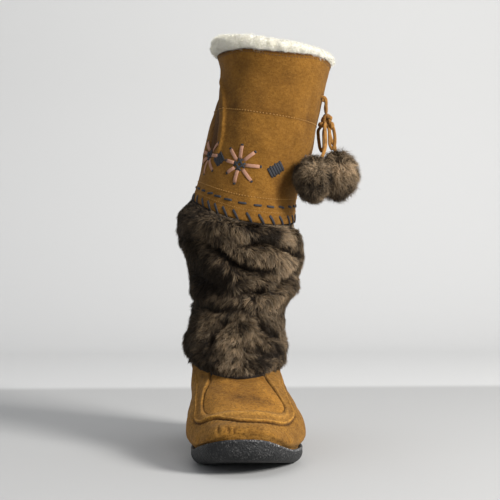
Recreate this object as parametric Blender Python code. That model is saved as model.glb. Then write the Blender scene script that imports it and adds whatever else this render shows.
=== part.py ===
"""Left mukluk boot with a moccasin foot, a rubber cup sole, a fur leg wrap and a laced suede cuff.

The boot stands on its sole, toe towards -Y, outer side towards +X. Lengths here are millimetres until a
mesh is made. "s" is the distance forward from the back of the heel, so y = HEEL_Y - s.
Every form comes from one family of closed rings. A ring starts at the back of the heel, runs along the
outer side to the toe and back along the inner side. Rings are stacked from the sole up to the collar.
"""

import math

import bpy
import numpy as np

MM = 0.001

# Driving dimensions
BOOT_LENGTH = 270.0
HEEL_Y = 65.0
ROUND = 40
GAP = 0.35

# Sole
HEEL_FLAT_END = 74.0
FOREFOOT_START = 150.0
FOREFOOT_END = 197.0
TOE_SPRING = 12.5
TOE_SPRING_CURVE = 1.2
ARCH_RISE = 2.0
CUP_WALL = 3.3
BASE_INSET = 8.5
GROOVE_DEPTH = 1.8
GROOVE_WIDTH = 4.5
GROOVES_AT = (14.0, 28.0, 42.0, 56.0, 154.0, 168.0, 182.0, 196.0)
SOLE_SIDE = (
    # s, thickness under the foot, height of the cup's rim
    (0.0, 17.0, 31.0),
    (30.0, 17.0, 29.0),
    (80.0, 15.0, 24.0),
    (130.0, 12.0, 19.5),
    (180.0, 9.5, 15.5),
    (215.0, 9.0, 15.5),
    (237.0, 9.0, 20.0),
    (258.0, 9.0, 27.0),
    (270.0, 9.0, 32.0),
)
RIM_LEAN = 2.4
RIM_LEAN_FROM = 215.0
SOLE_PROFILE = (
    # inset from the outline, height over the underside: the rounded lower edge
    (BASE_INSET, 0.0),
    (4.2, 1.7),
    (1.3, 4.8),
    (0.0, 9.0),
)
RIM_PROFILE = (
    # inset from the outline, drop below the rim
    (0.4, 1.3),
    (1.3, 0.0),
    (CUP_WALL, 0.0),
)
INSOLE_THICKNESS = 4.5
INSOLE_EDGE = 1.0

# Upper
WALL = 3.5
HEM_STEP = 7.5
FOOT_STATIONS = (0.15, 0.45, 0.72, 0.95)
# Powers of the sine in each ring: 1 gives an ellipse, less is squarer
HEEL_ROUNDING = 0.75
TOE_ROUNDING = 0.72
SHAFT_ROUNDING = 0.93
FOOT_COLUMNS = (
    "back front heel_in heel_out waist_in waist_out ball_in ball_out toe_in toe_out "
    "z_back z_waist z_ball z_toe z_front"
).split()
SOLE_EDGE = (0, 270, -48, 38, -36.5, 33, -55, 53.5, -62, 47, 0, 0, 0, 0, 0)
FOOT_RINGS = (
    # bulge over the rim, top of the bulge, outer seam height, vamp, lower instep, instep, low ankle
    (-0.5, 267.5, -49, 39, -42, 39, -58.8, 56.6, -64, 50, 38, 28, 23, 30, 38.5),
    (0, 262.5, -48, 38, -46, 41, -58.5, 54.7, -61, 47, 50, 43, 37, 37, 43.5),
    (2, 249, -47, 37, -49.5, 40.5, -52.8, 45.5, -60, 49, 60, 57, 51, 42.5, 46.5),
    (3, 234, -46, 36, -50, 39, -49, 39, -54, 43, 68, 66, 59, 49.5, 51),
    (3.5, 205, -45.5, 35.5, -49, 36.5, -45, 33, -43, 31, 74, 74, 71, 62.5, 60.5),
    (4, 176, -44.5, 34, -48, 34.5, -46, 33, -43, 29, 79.5, 79, 77, 73, 71.5),
    (6, 155, -42.5, 32, -45, 32, -43, 31, -40, 27, 92, 90, 89, 87, 86),
)
SHAFT_COLUMNS = "back front inner outer z_back z_out z_front z_in".split()
SHAFT_RINGS = (
    # ankle, narrow ankle, calf, full calf, under the hem
    (8, 142, -43, 33, 107, 105, 104, 106),
    (10, 133, -41, 34, 126, 124, 124, 125),
    (9, 130, -41, 45, 152, 149, 150, 153),
    (8, 131, -46, 50, 190, 185, 186, 196),
    (13, 122, -41.5, 46.5, 224.5, 215.5, 214.5, 237.5),
)
CUFF_RINGS = (
    # hem edge, low, lower middle, middle, high, neck, collar
    (8, 128, -48.5, 53.5, 228, 219, 218, 241),
    (7, 127, -41.5, 57, 252, 246, 245, 262),
    (6, 128, -37.5, 66, 278, 272, 272, 287),
    (5, 128, -31.5, 73.5, 302, 296, 299, 310),
    (5, 127, -24.7, 78.3, 329, 325, 329, 336),
    (4, 126, -18.8, 85.5, 359, 352, 359, 366),
    (0, 130, -23.6, 91.5, 381, 376, 380.5, 386),
)
INSTEP = 7.0
HEM = 13.0
COLLAR = 20.0
# Mesh rows lie two to a level up to the hem, then one to a level
HALF_LEVELS = np.arange(1, HEM + 0.5, 0.5)
UPPER_LEVELS = np.concatenate([HALF_LEVELS, np.arange(HEM + 1, COLLAR + 1)])
WALL_AT = (
    # level, wall thickness there
    (0.0, WALL),
    (12.0, WALL),
    (13.0, WALL),
    (14.0, WALL + HEM_STEP),
    (15.0, WALL + 2.0),
    (16.0, WALL),
    (20.0, WALL),
)

# Fur leg wrap: its outer form
FUR_GAP = 0.5
FUR_RINGS = (
    # hem, bottom roll, low, above the roll, crease, swell,
    # calf, full calf, fullest, upper roll, shoulder, top
    (-1, 180, -51, 40, 81, 79, 76.5, 81),
    (-6, 182, -57, 44, 92, 89, 86, 93),
    (-6, 171, -56, 44, 106, 104, 102, 108),
    (-3, 158, -52, 43.5, 122, 119, 119, 121),
    (-1, 149, -50.5, 45.5, 135, 134, 134, 132),
    (-3, 148, -51.5, 57.5, 148, 149, 148, 146),
    (-5, 149, -53, 59.5, 164, 163, 163, 162),
    (-7, 150, -55.5, 63.5, 182, 179, 179, 180),
    (-8, 151, -62.5, 64, 199, 193, 192, 199),
    (-7, 149, -64.5, 61.5, 211, 204, 202, 212),
    (-3, 143, -59.5, 58, 220, 212, 210, 226),
    (6, 131, -50.5, 53, 224, 215.5, 213.5, 236),
)

# Moccasin seam lines in plan: each is a U that closes towards the toe, squarer with a higher power
SEAM_BEND_AT = 200.0
OUTER_SEAM = {
    "axis": -3.8,
    "front": 255.5,
    "half": ((165.0, 41.0), (195.0, 43.5), (245.0, 43.5)),
    "inner_power": 1.9,
    "outer_power": 1.8,
}
INNER_SEAM = {
    "axis": -5.5,
    "front": 231.0,
    "half": ((165.0, 24.5), (183.0, 32.5), (200.0, 36.5), (240.0, 37.0)),
    "inner_power": 2.6,
    "outer_power": 3.2,
}
SEAM_ROOM = 0.4
SEAM_GAP = 1.5
SEAM_BACK = 150.0
OVERLAY_GAP = 1.0
OVERLAY_TOP = 6.65
FRAME_THICKNESS = 2.2
APRON_THICKNESS = 1.5
SEAM_POINTS = 33

# Fleece lining at the collar
LINING_THICKNESS = 7.0
LINING_FROM = 18.0
LINING_PROUD = {"back": 11.0, "outer": 6.5, "front": 10.0, "inner": 15.0}
# Share of the height above the collar, narrowing there
LINING_EDGE = ((0.6, 0.0), (1.0, 2.0))

# Lace and pompoms
LACE = 3.2
# Angle and level of the two holes that the lace leaves the cuff by
TIE_HOLES = ((1.955, 18.6), (1.6, 18.6))
TIE_FALL = ((84.0, -20.6, 332.5), (84.8, -14.0, 326.5), (84.8, -8.2, 332.5))
TIE_STUB = 3.4
KNOT_CENTRE = (85.5, -14.0, 319.5)
KNOT_SIZE = (4.6, 5.0, 6.0)
LOOP_FRONT = (
    (91.5, -17.5, 317.5),
    (92.2, -20.0, 311.0),
    (91.6, -22.0, 303.0),
    (90.8, -22.5, 296.5),
    (88.4, -22.5, 292.8),
    (86.3, -22.2, 296.5),
    (86.2, -21.8, 303.5),
    (87.0, -20.6, 310.5),
)
LOOP_BACK = (
    (82.6, -6.6, 320.3),
    (79.9, -3.0, 316.5),
    (78.6, 0.0, 310.0),
    (78.8, 1.8, 302.0),
    (80.0, 1.5, 294.5),
    (81.6, -0.3, 290.5),
    (82.6, -2.6, 293.5),
    (82.6, -5.5, 301.0),
    (82.6, -9.8, 309.5),
)
END_FRONT = (
    (82.6, -22.5, 314.5),
    (82.4, -25.5, 308.0),
    (82.2, -30.5, 301.0),
    (81.4, -37.0, 294.0),
    (79.6, -43.5, 287.5),
)
END_BACK = (
    (88.4, -9.0, 311.5),
    (89.4, -8.4, 305.5),
    (91.4, -9.6, 299.0),
    (93.6, -12.6, 294.0),
)
POMPOM_FRONT = (66.5, -58.5, 259.0)
POMPOM_BACK = (95.5, -19.5, 265.0)
POMPOM_SIZE = (19.5, 19.5, 24.0)

# Materials: colour, roughness
SUEDE = ("suede", (0.42, 0.19, 0.05), 0.9)
RUBBER = ("rubber", (0.03, 0.032, 0.035), 0.75)
FUR = ("fur", (0.09, 0.065, 0.045), 0.95)
FLEECE = ("fleece", (0.78, 0.75, 0.68), 0.95)
FOOTBED = ("footbed", (0.62, 0.55, 0.43), 0.9)
LACE_SUEDE = ("lace", (0.5, 0.24, 0.07), 0.85)


def clear_scene():
    for thing in list(bpy.data.objects):
        bpy.data.objects.remove(thing, do_unlink=True)


def smooth(at, knots, values):
    """Reads a smooth curve through values given at knots: cubic pieces, each slope from its neighbours."""
    knots = np.asarray(knots, float)
    values = np.asarray(values, float)
    at = np.clip(np.atleast_1d(np.asarray(at, float)), knots[0], knots[-1])
    slopes = np.gradient(values, knots, axis=0)
    i = np.clip(np.searchsorted(knots, at, side="right") - 1, 0, len(knots) - 2)
    span = knots[i + 1] - knots[i]
    t = (at - knots[i]) / span
    shape = t.shape + (1,) * (values.ndim - 1)
    t = t.reshape(shape)
    span = span.reshape(shape)
    near = (1 + 2 * t) * (1 - t) ** 2 * values[i] + t * (1 - t) ** 2 * span * slopes[i]
    far = t * t * (3 - 2 * t) * values[i + 1] + t * t * (t - 1) * span * slopes[i + 1]
    return near + far


def sole_bottom(s):
    """Underside: flat heel, low arch, flat forefoot, then toe spring."""
    rise = np.clip((s - FOREFOOT_END) / (BOOT_LENGTH - FOREFOOT_END), 0, 1)
    over = np.clip((s - HEEL_FLAT_END) / (FOREFOOT_START - HEEL_FLAT_END), 0, 1)
    return TOE_SPRING * rise**TOE_SPRING_CURVE + ARCH_RISE * np.sin(np.pi * over) ** 2


def sole_floor(s):
    table = np.array(SOLE_SIDE)
    return sole_bottom(s) + smooth(s, table[:, 0], table[:, 1])


def sole_rim(s, theta):
    """Rim height: higher on the inner side of the toe."""
    table = np.array(SOLE_SIDE)
    toe = np.clip((s - RIM_LEAN_FROM) / (BOOT_LENGTH - RIM_LEAN_FROM), 0, 1)
    return smooth(s, table[:, 0], table[:, 2]) - RIM_LEAN * np.sin(theta) * np.sin(np.pi * toe)


def angles(count):
    return np.arange(count) * 2 * math.pi / count


def foot_ring(values, theta):
    """Ring with its own half widths and heights at heel, waist, ball and toe; (x, y, z) for each angle."""
    row = dict(zip(FOOT_COLUMNS, values))
    along = (1 - np.cos(theta)) / 2
    s = row["back"] + (row["front"] - row["back"]) * along
    inner = smooth(along, FOOT_STATIONS, [row[k + "_in"] for k in ("heel", "waist", "ball", "toe")])
    outer = smooth(along, FOOT_STATIONS, [row[k + "_out"] for k in ("heel", "waist", "ball", "toe")])
    rounding = HEEL_ROUNDING + (TOE_ROUNDING - HEEL_ROUNDING) * along
    reach = np.sign(np.sin(theta)) * np.abs(np.sin(theta)) ** rounding
    x = (inner + outer) / 2 + (outer - inner) / 2 * reach
    heights = [row["z_" + k] for k in ("back", "waist", "ball", "toe", "front")]
    z = smooth(along, (0.0,) + FOOT_STATIONS[1:] + (1.0,), heights)
    return np.stack([x, HEEL_Y - s, z], -1)


def shaft_ring(values, theta):
    """Rounded oval given by its four sides, with a height at each side."""
    row = dict(zip(SHAFT_COLUMNS, values))
    across = np.sign(np.sin(theta)) * np.abs(np.sin(theta)) ** SHAFT_ROUNDING
    ahead = -np.sign(np.cos(theta)) * np.abs(np.cos(theta)) ** SHAFT_ROUNDING
    x = (row["outer"] + row["inner"]) / 2 + (row["outer"] - row["inner"]) / 2 * across
    s = (row["front"] + row["back"]) / 2 + (row["front"] - row["back"]) / 2 * ahead
    z = four_sides(theta, row["z_back"], row["z_out"], row["z_front"], row["z_in"])
    return np.stack([x, HEEL_Y - s, z], -1)


def four_sides(theta, back, outer, front, inner):
    """A value that passes smoothly through its value at each of the four sides."""
    mean = (back + outer + front + inner) / 4
    first = (back - front) / 2 * np.cos(theta) + (outer - inner) / 2 * np.sin(theta)
    return mean + first + (back + front - outer - inner) / 4 * np.cos(2 * theta)


def sole_ring(theta, inset, height):
    """The sole's outline moved inwards; height is a function of s and angle."""
    step = 0.08
    edge = foot_ring(SOLE_EDGE, theta)
    run = foot_ring(SOLE_EDGE, theta + step) - foot_ring(SOLE_EDGE, theta - step)
    out = np.stack([-run[:, 1], run[:, 0], np.zeros(len(theta))], -1)
    ring = edge - inset * out / np.linalg.norm(out, axis=1, keepdims=True)
    ring[:, 2] = height(HEEL_Y - edge[:, 1], theta)
    return ring


def upper_rings(theta):
    """All key rings of the upper's outer surface, from the feather edge to the collar."""
    inset = CUP_WALL + GAP
    feather = sole_ring(theta, inset, lambda s, _: sole_floor(s) + GAP)
    rim = sole_ring(theta, inset, lambda s, at: sole_rim(s, at) + GAP)
    foot = [foot_ring(row, theta) for row in FOOT_RINGS]
    shaft = [shaft_ring(row, theta) for row in SHAFT_RINGS + CUFF_RINGS]
    return np.array([feather, rim] + foot + shaft)


def upper_surface(theta, levels):
    """Outer surface of the upper at each level (rows) and angle (columns).

    Levels count the key rings. The hem under the cuff is a true step, so it's left unsmoothed.
    """
    rings = upper_rings(theta)
    below = smooth(levels, np.arange(HEM + 1), rings[: int(HEM) + 1])
    above = smooth(levels, np.arange(HEM + 1, COLLAR + 1), rings[int(HEM) + 1 :])
    levels = np.asarray(levels, float).reshape(-1, 1, 1)
    share = np.clip(levels - HEM, 0, 1)
    return below * (1 - share) + above * share


def outward(theta, levels):
    """Unit normals of the upper, level at the sole's edge and on the shaft."""
    step = 0.02
    high = upper_surface(theta, np.minimum(np.asarray(levels) + step, COLLAR))
    low = upper_surface(theta, np.maximum(np.asarray(levels) - step, 0))
    grid = upper_surface(theta, levels)
    turned = upper_surface(theta + step, levels) - upper_surface(theta - step, levels)
    leaning = np.cross(high - low, turned)
    leaning /= np.linalg.norm(leaning, axis=2, keepdims=True) + 1e-9
    level_ones = np.stack([-turned[..., 1], turned[..., 0], np.zeros(grid.shape[:2])], -1)
    level_ones /= np.linalg.norm(level_ones, axis=2, keepdims=True)
    at = np.asarray(levels, float).reshape(-1, 1, 1)
    upright = np.clip(at - 9, 0, 1) + np.clip(1 - at, 0, 1)
    mixed = leaning * (1 - upright) + level_ones * upright
    return mixed / np.linalg.norm(mixed, axis=2, keepdims=True)


def upper_at(theta, levels, offset):
    """The upper's outer surface moved along its normals."""
    return upper_surface(theta, levels) + offset * outward(theta, levels)


def wall_at(levels):
    table = np.array(WALL_AT)
    return np.interp(levels, table[:, 0], table[:, 1]).reshape(-1, 1, 1)


def slab(outer, inner, closed):
    """Points and triangles of the wall between two grids; closed ones join round in a ring."""
    rows, columns = outer.shape[:2]
    a = np.arange(rows * columns).reshape(rows, columns)
    b = a + rows * columns
    if closed:
        a = np.hstack([a, a[:, :1]])
        b = np.hstack([b, b[:, :1]])
    faces = skin(a) + [face[::-1] for face in skin(b)]
    faces += strip(a[0], b[0]) + strip(b[-1], a[-1])
    if not closed:
        faces += strip(b[:, 0], a[:, 0]) + strip(a[:, -1], b[:, -1])
    return np.concatenate([outer.reshape(-1, 3), inner.reshape(-1, 3)]), faces


def skin(index):
    """Two triangles in each cell of a grid, always cut along the same diagonal."""
    low, high = index[:-1], index[1:]
    first = np.stack([low[:, :-1], high[:, :-1], high[:, 1:]], -1).reshape(-1, 3)
    second = np.stack([low[:, :-1], high[:, 1:], low[:, 1:]], -1).reshape(-1, 3)
    return first.tolist() + second.tolist()


def strip(one, other):
    """Triangles between two rows of equal length."""
    first = np.stack([one[:-1], one[1:], other[1:]], -1)
    second = np.stack([one[:-1], other[1:], other[:-1]], -1)
    return first.tolist() + second.tolist()


def ladder(ring):
    """Triangles that close a ring with rungs straight across the foot."""
    half = len(ring) // 2
    right = ring[: half + 1]
    left = np.roll(ring[::-1], 1)[: half + 1]
    faces = [(right[0], right[1], left[1]), (right[-2], right[-1], left[-2])]
    for i in range(1, half - 1):
        faces.append((right[i], right[i + 1], left[i + 1]))
        faces.append((right[i], left[i + 1], left[i]))
    return [tuple(int(p) for p in face) for face in faces]


def stack(rings):
    """Closed solid through a stack of rings, capped across at both ends."""
    rings = np.array(rings)
    index = np.arange(rings.shape[0] * rings.shape[1]).reshape(rings.shape[:2])
    faces = skin(np.hstack([index, index[:, :1]]))
    faces += ladder(index[0]) + [face[::-1] for face in ladder(index[-1])]
    return rings.reshape(-1, 3), faces


def material(finish):
    name, colour, roughness = finish
    found = bpy.data.materials.get(name)
    if found is None:
        found = bpy.data.materials.new(name)
        found.use_nodes = True
        shader = found.node_tree.nodes["Principled BSDF"]
        shader.inputs["Base Color"].default_value = (*colour, 1)
        shader.inputs["Roughness"].default_value = roughness
        shader.inputs["Metallic"].default_value = 0.0
    return found


def add_mesh(name, shape, finish):
    points, faces = shape
    mesh = bpy.data.meshes.new(name)
    mesh.from_pydata((np.asarray(points) * MM).tolist(), [], faces)
    mesh.validate()
    mesh.materials.append(material(finish))
    mesh.shade_smooth()
    mesh.set_sharp_from_angle(angle=math.radians(40))
    body = bpy.data.objects.new(name, mesh)
    bpy.context.scene.collection.objects.link(body)
    return body


def add_tube(name, route, width, count, finish):
    """Round tube along a smooth curve through a route's points, filled at both ends."""
    route = np.array(route)
    run = np.concatenate([[0], np.cumsum(np.linalg.norm(np.diff(route, axis=0), axis=1))])
    points = smooth(np.linspace(0, run[-1], count), run, route) * MM
    curve = bpy.data.curves.new(name, "CURVE")
    curve.dimensions = "3D"
    curve.bevel_depth = width / 2 * MM
    curve.bevel_resolution = 2
    curve.use_fill_caps = True
    spline = curve.splines.new("POLY")
    spline.points.add(count - 1)
    spline.points.foreach_set("co", np.hstack([points, np.ones((count, 1))]).ravel())
    curve.materials.append(material(finish))
    body = bpy.data.objects.new(name, curve)
    bpy.context.scene.collection.objects.link(body)
    return body


def add_ball(name, centre, size, around, finish):
    """Oval ball: circles of latitude between two poles."""
    rise = np.linspace(-math.pi / 2, math.pi / 2, around // 2 + 1)[1:-1]
    turn = angles(around)
    rings = np.stack(
        [
            np.outer(np.cos(rise), np.sin(turn)),
            np.outer(np.cos(rise), np.cos(turn)),
            np.outer(np.sin(rise), np.ones(around)),
        ],
        -1,
    )
    points, faces = stack(rings)
    points = points * np.array(size) + np.array(centre)
    return add_mesh(name, (points, faces), finish)


def make_outsole():
    """Cup sole: rounded lower edge, side, rim, inner wall and floor, with grooves across the tread."""
    theta = angles(ROUND)
    rings = [sole_ring(theta, inset, lambda s, _: sole_bottom(s) + up) for inset, up in SOLE_PROFILE]
    rings += [sole_ring(theta, inset, lambda s, at: sole_rim(s, at) - drop) for inset, drop in RIM_PROFILE]
    rings.append(sole_ring(theta, CUP_WALL, lambda s, _: sole_floor(s)))
    sole = add_mesh("outsole", stack(rings), RUBBER)
    cut = sole.modifiers.new("grooves", "BOOLEAN")
    cut.operation = "DIFFERENCE"
    cut.object = make_grooves()
    return sole


def make_grooves():
    """Cutter: a flat bar across the tread for each groove."""
    corners = np.array([(x, y, z) for z in (-1, 1) for y in (-1, 1) for x in (-1, 1)], float)
    size = np.array([80.0, GROOVE_WIDTH / 2, GROOVE_DEPTH])
    sides = [(0, 2, 3, 1), (4, 5, 7, 6), (0, 1, 5, 4), (2, 6, 7, 3), (0, 4, 6, 2), (1, 3, 7, 5)]
    points = []
    faces = []
    for at in GROOVES_AT:
        faces += [tuple(len(points) + corner for corner in side) for side in sides]
        points += (corners * size + np.array([0, HEEL_Y - at, 0])).tolist()
    cutter = add_mesh("groove_cutter", (points, faces), RUBBER)
    cutter.hide_render = True
    cutter.display_type = "WIRE"
    return cutter


def make_insole():
    theta = angles(ROUND)
    inset = CUP_WALL + GAP + WALL + GAP
    rings = [
        sole_ring(theta, inset, lambda s, _: sole_floor(s) + GAP),
        sole_ring(theta, inset, lambda s, _: sole_floor(s) + GAP + INSOLE_THICKNESS - INSOLE_EDGE),
        sole_ring(theta, inset + INSOLE_EDGE, lambda s, _: sole_floor(s) + GAP + INSOLE_THICKNESS),
    ]
    return add_mesh("insole", stack(rings), FOOTBED)


def make_upper():
    theta = angles(ROUND)
    levels = np.concatenate([[0], UPPER_LEVELS])
    outer = upper_surface(theta, levels)
    inner = outer - wall_at(levels) * outward(theta, levels)
    return add_mesh("upper", slab(outer, inner, True), SUEDE)


def make_fur_shaft():
    """Deep pile ring round the shaft, from the instep to the cuff's hem."""
    theta = angles(ROUND)
    levels = HALF_LEVELS[HALF_LEVELS >= INSTEP]
    rings = np.array([shaft_ring(row, theta) for row in FUR_RINGS])
    outer = smooth(np.linspace(0, len(rings) - 1, len(levels)), np.arange(len(rings)), rings)
    inner = upper_at(theta, levels, FUR_GAP)
    inner[-1, :, 2] -= FUR_GAP
    return add_mesh("fur_shaft", slab(outer, inner, True), FUR)


def seam_line(seam, theta, inset=0.0):
    """Level at which each angle's line up the vamp crosses a U drawn in plan, moved inwards by inset."""
    levels = np.linspace(2.5, INSTEP + 1, 120)
    grid = upper_surface(theta, levels)
    s = HEEL_Y - grid[..., 1]
    knots = np.array(seam["half"])
    half = np.interp(s, knots[:, 0], knots[:, 1]) - inset
    beyond = np.clip((s - SEAM_BEND_AT) / (seam["front"] - inset - SEAM_BEND_AT), 0, None)
    across = np.abs(grid[..., 0] - seam["axis"]) / half
    power = np.where(grid[..., 0] < seam["axis"], seam["inner_power"], seam["outer_power"])
    outside = across**power + beyond**power > 1
    return levels[np.minimum(outside.sum(0), len(levels) - 1)]


def overlay(theta, low, high, rows, thickness):
    """Piece lying on the upper between two lines of levels, one pair of levels for each angle."""
    steps = np.linspace(0, 1, rows)
    under = []
    over = []
    for at, bottom, top in zip(theta, low, high):
        levels = bottom + (top - bottom) * steps
        under.append(upper_at(np.array([at]), levels, OVERLAY_GAP)[:, 0])
        over.append(upper_at(np.array([at]), levels, OVERLAY_GAP + thickness)[:, 0])
    return slab(np.array(over).transpose(1, 0, 2), np.array(under).transpose(1, 0, 2), False)


def seam_columns():
    """Angles shared by the frame and the apron, so that their edges run side by side."""
    theta = np.linspace(math.pi * 0.4, math.pi * 1.6, 241)
    level = seam_line(OUTER_SEAM, theta)
    ahead = []
    for turn, height in zip(theta, level):
        s = HEEL_Y - upper_surface(np.array([turn]), np.array([height]))[0, 0, 1]
        if height < OVERLAY_TOP - SEAM_ROOM and s > SEAM_BACK:
            ahead.append(turn)
    return np.linspace(ahead[0], ahead[-1], SEAM_POINTS)


def frame_lines(theta):
    """Lower and upper level of the frame at each angle."""
    low = seam_line(OUTER_SEAM, theta)
    return low, np.clip(seam_line(INNER_SEAM, theta), low + SEAM_ROOM / 2, OVERLAY_TOP)


def make_apron_frame():
    """Raised U-shaped band between the two seam lines."""
    theta = seam_columns()
    low, high = frame_lines(theta)
    return add_mesh("apron_frame", overlay(theta, low, high, 5, FRAME_THICKNESS), SUEDE)


def make_apron():
    """Plug inside the frame, up to the fur's hem."""
    theta = seam_columns()
    low = np.maximum(seam_line(INNER_SEAM, theta, SEAM_GAP), frame_lines(theta)[1] + SEAM_ROOM / 4)
    inside = low < OVERLAY_TOP - 0.1
    high = np.full(inside.sum(), OVERLAY_TOP)
    shape = overlay(theta[inside], low[inside], high, 6, APRON_THICKNESS)
    return add_mesh("apron", shape, SUEDE)


def make_collar_lining():
    """Fleece ring inside the cuff, standing proud of the collar."""
    theta = angles(ROUND)
    levels = UPPER_LEVELS[UPPER_LEVELS >= LINING_FROM]
    skin_depth = wall_at(levels) + GAP
    outer = upper_surface(theta, levels) - skin_depth * outward(theta, levels)
    inner = outer - LINING_THICKNESS * outward(theta, levels)
    proud = LINING_PROUD
    rise = four_sides(theta, proud["back"], proud["outer"], proud["front"], proud["inner"])
    lift = np.zeros((len(theta), 3))
    lift[:, 2] = rise
    out = outward(theta, levels[-1:])[0]
    outer_top = [outer[-1] + share * lift - narrowing * out for share, narrowing in LINING_EDGE]
    inner_top = [inner[-1] + share * lift + narrowing * out for share, narrowing in LINING_EDGE]
    shape = slab(np.concatenate([outer, outer_top]), np.concatenate([inner, inner_top]), True)
    return add_mesh("collar_lining", shape, FLEECE)


def port(centre, size, towards):
    """Point just off an oval ball, on the line from its centre to another point."""
    line = np.subtract(towards, centre)
    reach = 1 / np.linalg.norm(line / np.array(size))
    return np.array(centre) + line * (reach + GAP / np.linalg.norm(line))


def tie_hole(hole, lift):
    """Point over one of the lace's holes in the cuff."""
    theta, level = hole
    return upper_at(np.array([theta]), np.array([level]), lift)[0, 0]


def make_tie():
    """Lace strands from the cuff to the knot, the bow's two loops and the two ends."""
    knot = (KNOT_CENTRE, KNOT_SIZE)
    first, last = [[tie_hole(hole, GAP + 0.2), tie_hole(hole, TIE_STUB)] for hole in TIE_HOLES]
    add_tube("tie_bars", first + list(TIE_FALL) + last[::-1], LACE, 13, LACE_SUEDE)
    add_ball("tie_knot", KNOT_CENTRE, KNOT_SIZE, 12, LACE_SUEDE)
    for name, loop in (("tie_loop_front", LOOP_FRONT), ("tie_loop_back", LOOP_BACK)):
        route = [port(*knot, loop[0]), *loop, port(*knot, loop[-1])]
        add_tube(name, route, LACE, 17, LACE_SUEDE)
    ends = (("tie_end_front", END_FRONT, POMPOM_FRONT), ("tie_end_back", END_BACK, POMPOM_BACK))
    for name, end, pompom in ends:
        route = [port(*knot, end[0]), *end, port(pompom, POMPOM_SIZE, end[-1])]
        add_tube(name, route, LACE, 11, LACE_SUEDE)


def make_pompoms():
    add_ball("pompom_front", POMPOM_FRONT, POMPOM_SIZE, 16, FUR)
    add_ball("pompom_back", POMPOM_BACK, POMPOM_SIZE, 16, FUR)


def main():
    clear_scene()
    make_outsole()
    make_insole()
    make_upper()
    make_apron_frame()
    make_apron()
    make_fur_shaft()
    make_collar_lining()
    make_tie()
    make_pompoms()


main()
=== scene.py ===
"""Looks of a left mukluk boot: suede skins, pile, stitching, lace and stage round the solid frame.

The boot stands on its sole, toe towards -Y, outer side towards +X. Lengths are millimetres until a mesh is
made. Every skin is a function of two numbers: an angle round the boot, which starts at the back of the heel
and runs by the outer side to the toe, and a level, which counts the boot's key rings from the sole up.
"""

import math

import bpy
import numpy as np
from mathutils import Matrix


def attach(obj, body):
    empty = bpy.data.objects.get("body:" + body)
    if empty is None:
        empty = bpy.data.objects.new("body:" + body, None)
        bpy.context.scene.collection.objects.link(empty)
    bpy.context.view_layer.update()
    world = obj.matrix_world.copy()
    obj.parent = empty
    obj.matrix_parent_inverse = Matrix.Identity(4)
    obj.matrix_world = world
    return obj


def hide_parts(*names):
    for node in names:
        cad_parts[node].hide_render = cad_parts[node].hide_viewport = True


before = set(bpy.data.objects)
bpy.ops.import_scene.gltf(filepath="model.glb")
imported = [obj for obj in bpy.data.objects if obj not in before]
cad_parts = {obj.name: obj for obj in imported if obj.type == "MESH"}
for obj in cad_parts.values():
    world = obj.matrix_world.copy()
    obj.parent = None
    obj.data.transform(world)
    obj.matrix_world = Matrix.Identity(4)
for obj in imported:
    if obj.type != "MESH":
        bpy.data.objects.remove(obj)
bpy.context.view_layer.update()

bl_info = {
    "name": "Mukluk boot",
    "version": (1, 0, 0),
    "blender": (4, 5, 0),
    "location": "3D View > Sidebar > Mukluk",
    "description": "Dresses the solid frame of a mukluk boot with suede, pile, stitching and lace",
    "category": "Object",
}

MM = 0.001
TURN = 2 * math.pi

# Sole and foot: the same tables as the solids
HEEL_Y = 65.0
BOOT_LENGTH = 270.0
GAP = 0.35
HEEL_FLAT_END = 74.0
FOREFOOT_START = 150.0
FOREFOOT_END = 197.0
TOE_SPRING = 12.5
TOE_SPRING_CURVE = 1.2
ARCH_RISE = 2.0
CUP_WALL = 3.3
GROOVE_DEPTH = 1.8
GROOVE_WIDTH = 4.5
GROOVES_AT = (14.0, 28.0, 42.0, 56.0, 154.0, 168.0, 182.0, 196.0)
SOLE_SIDE = (
    # s, thickness under the foot, height of the cup's rim
    (0.0, 17.0, 31.0),
    (30.0, 17.0, 29.0),
    (80.0, 15.0, 24.0),
    (130.0, 12.0, 19.5),
    (180.0, 9.5, 15.5),
    (215.0, 9.0, 15.5),
    (237.0, 9.0, 20.0),
    (258.0, 9.0, 27.0),
    (270.0, 9.0, 32.0),
)
RIM_LEAN = 2.4
RIM_LEAN_FROM = 215.0
INSOLE_THICKNESS = 4.5
WALL = 3.5
FOOT_STATIONS = (0.15, 0.45, 0.72, 0.95)
HEEL_ROUNDING = 0.75
TOE_ROUNDING = 0.72
SHAFT_ROUNDING = 0.93
FOOT_COLUMNS = (
    "back front heel_in heel_out waist_in waist_out ball_in ball_out toe_in toe_out "
    "z_back z_waist z_ball z_toe z_front"
).split()
SOLE_EDGE = (0, 270, -48, 38, -36.5, 33, -55, 53.5, -62, 47, 0, 0, 0, 0, 0)
FOOT_RINGS = (
    # bulge over the rim, top of the bulge, outer seam height, vamp, lower instep, instep, low ankle
    (-0.5, 267.5, -49, 39, -42, 39, -58.8, 56.6, -64, 50, 38, 28, 23, 30, 38.5),
    (0, 262.5, -48, 38, -46, 41, -58.5, 54.7, -61, 47, 50, 43, 37, 37, 43.5),
    (2, 249, -47, 37, -49.5, 40.5, -52.8, 45.5, -60, 49, 60, 57, 51, 42.5, 46.5),
    (3, 234, -46, 36, -50, 39, -49, 39, -54, 43, 68, 66, 59, 49.5, 51),
    (3.5, 205, -45.5, 35.5, -49, 36.5, -45, 33, -43, 31, 74, 74, 71, 62.5, 60.5),
    (4, 176, -44.5, 34, -48, 34.5, -46, 33, -43, 29, 79.5, 79, 77, 73, 71.5),
    (6, 155, -42.5, 32, -45, 32, -43, 31, -40, 27, 92, 90, 89, 87, 86),
)
SHAFT_COLUMNS = "back front inner outer z_back z_out z_front z_in".split()
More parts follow.
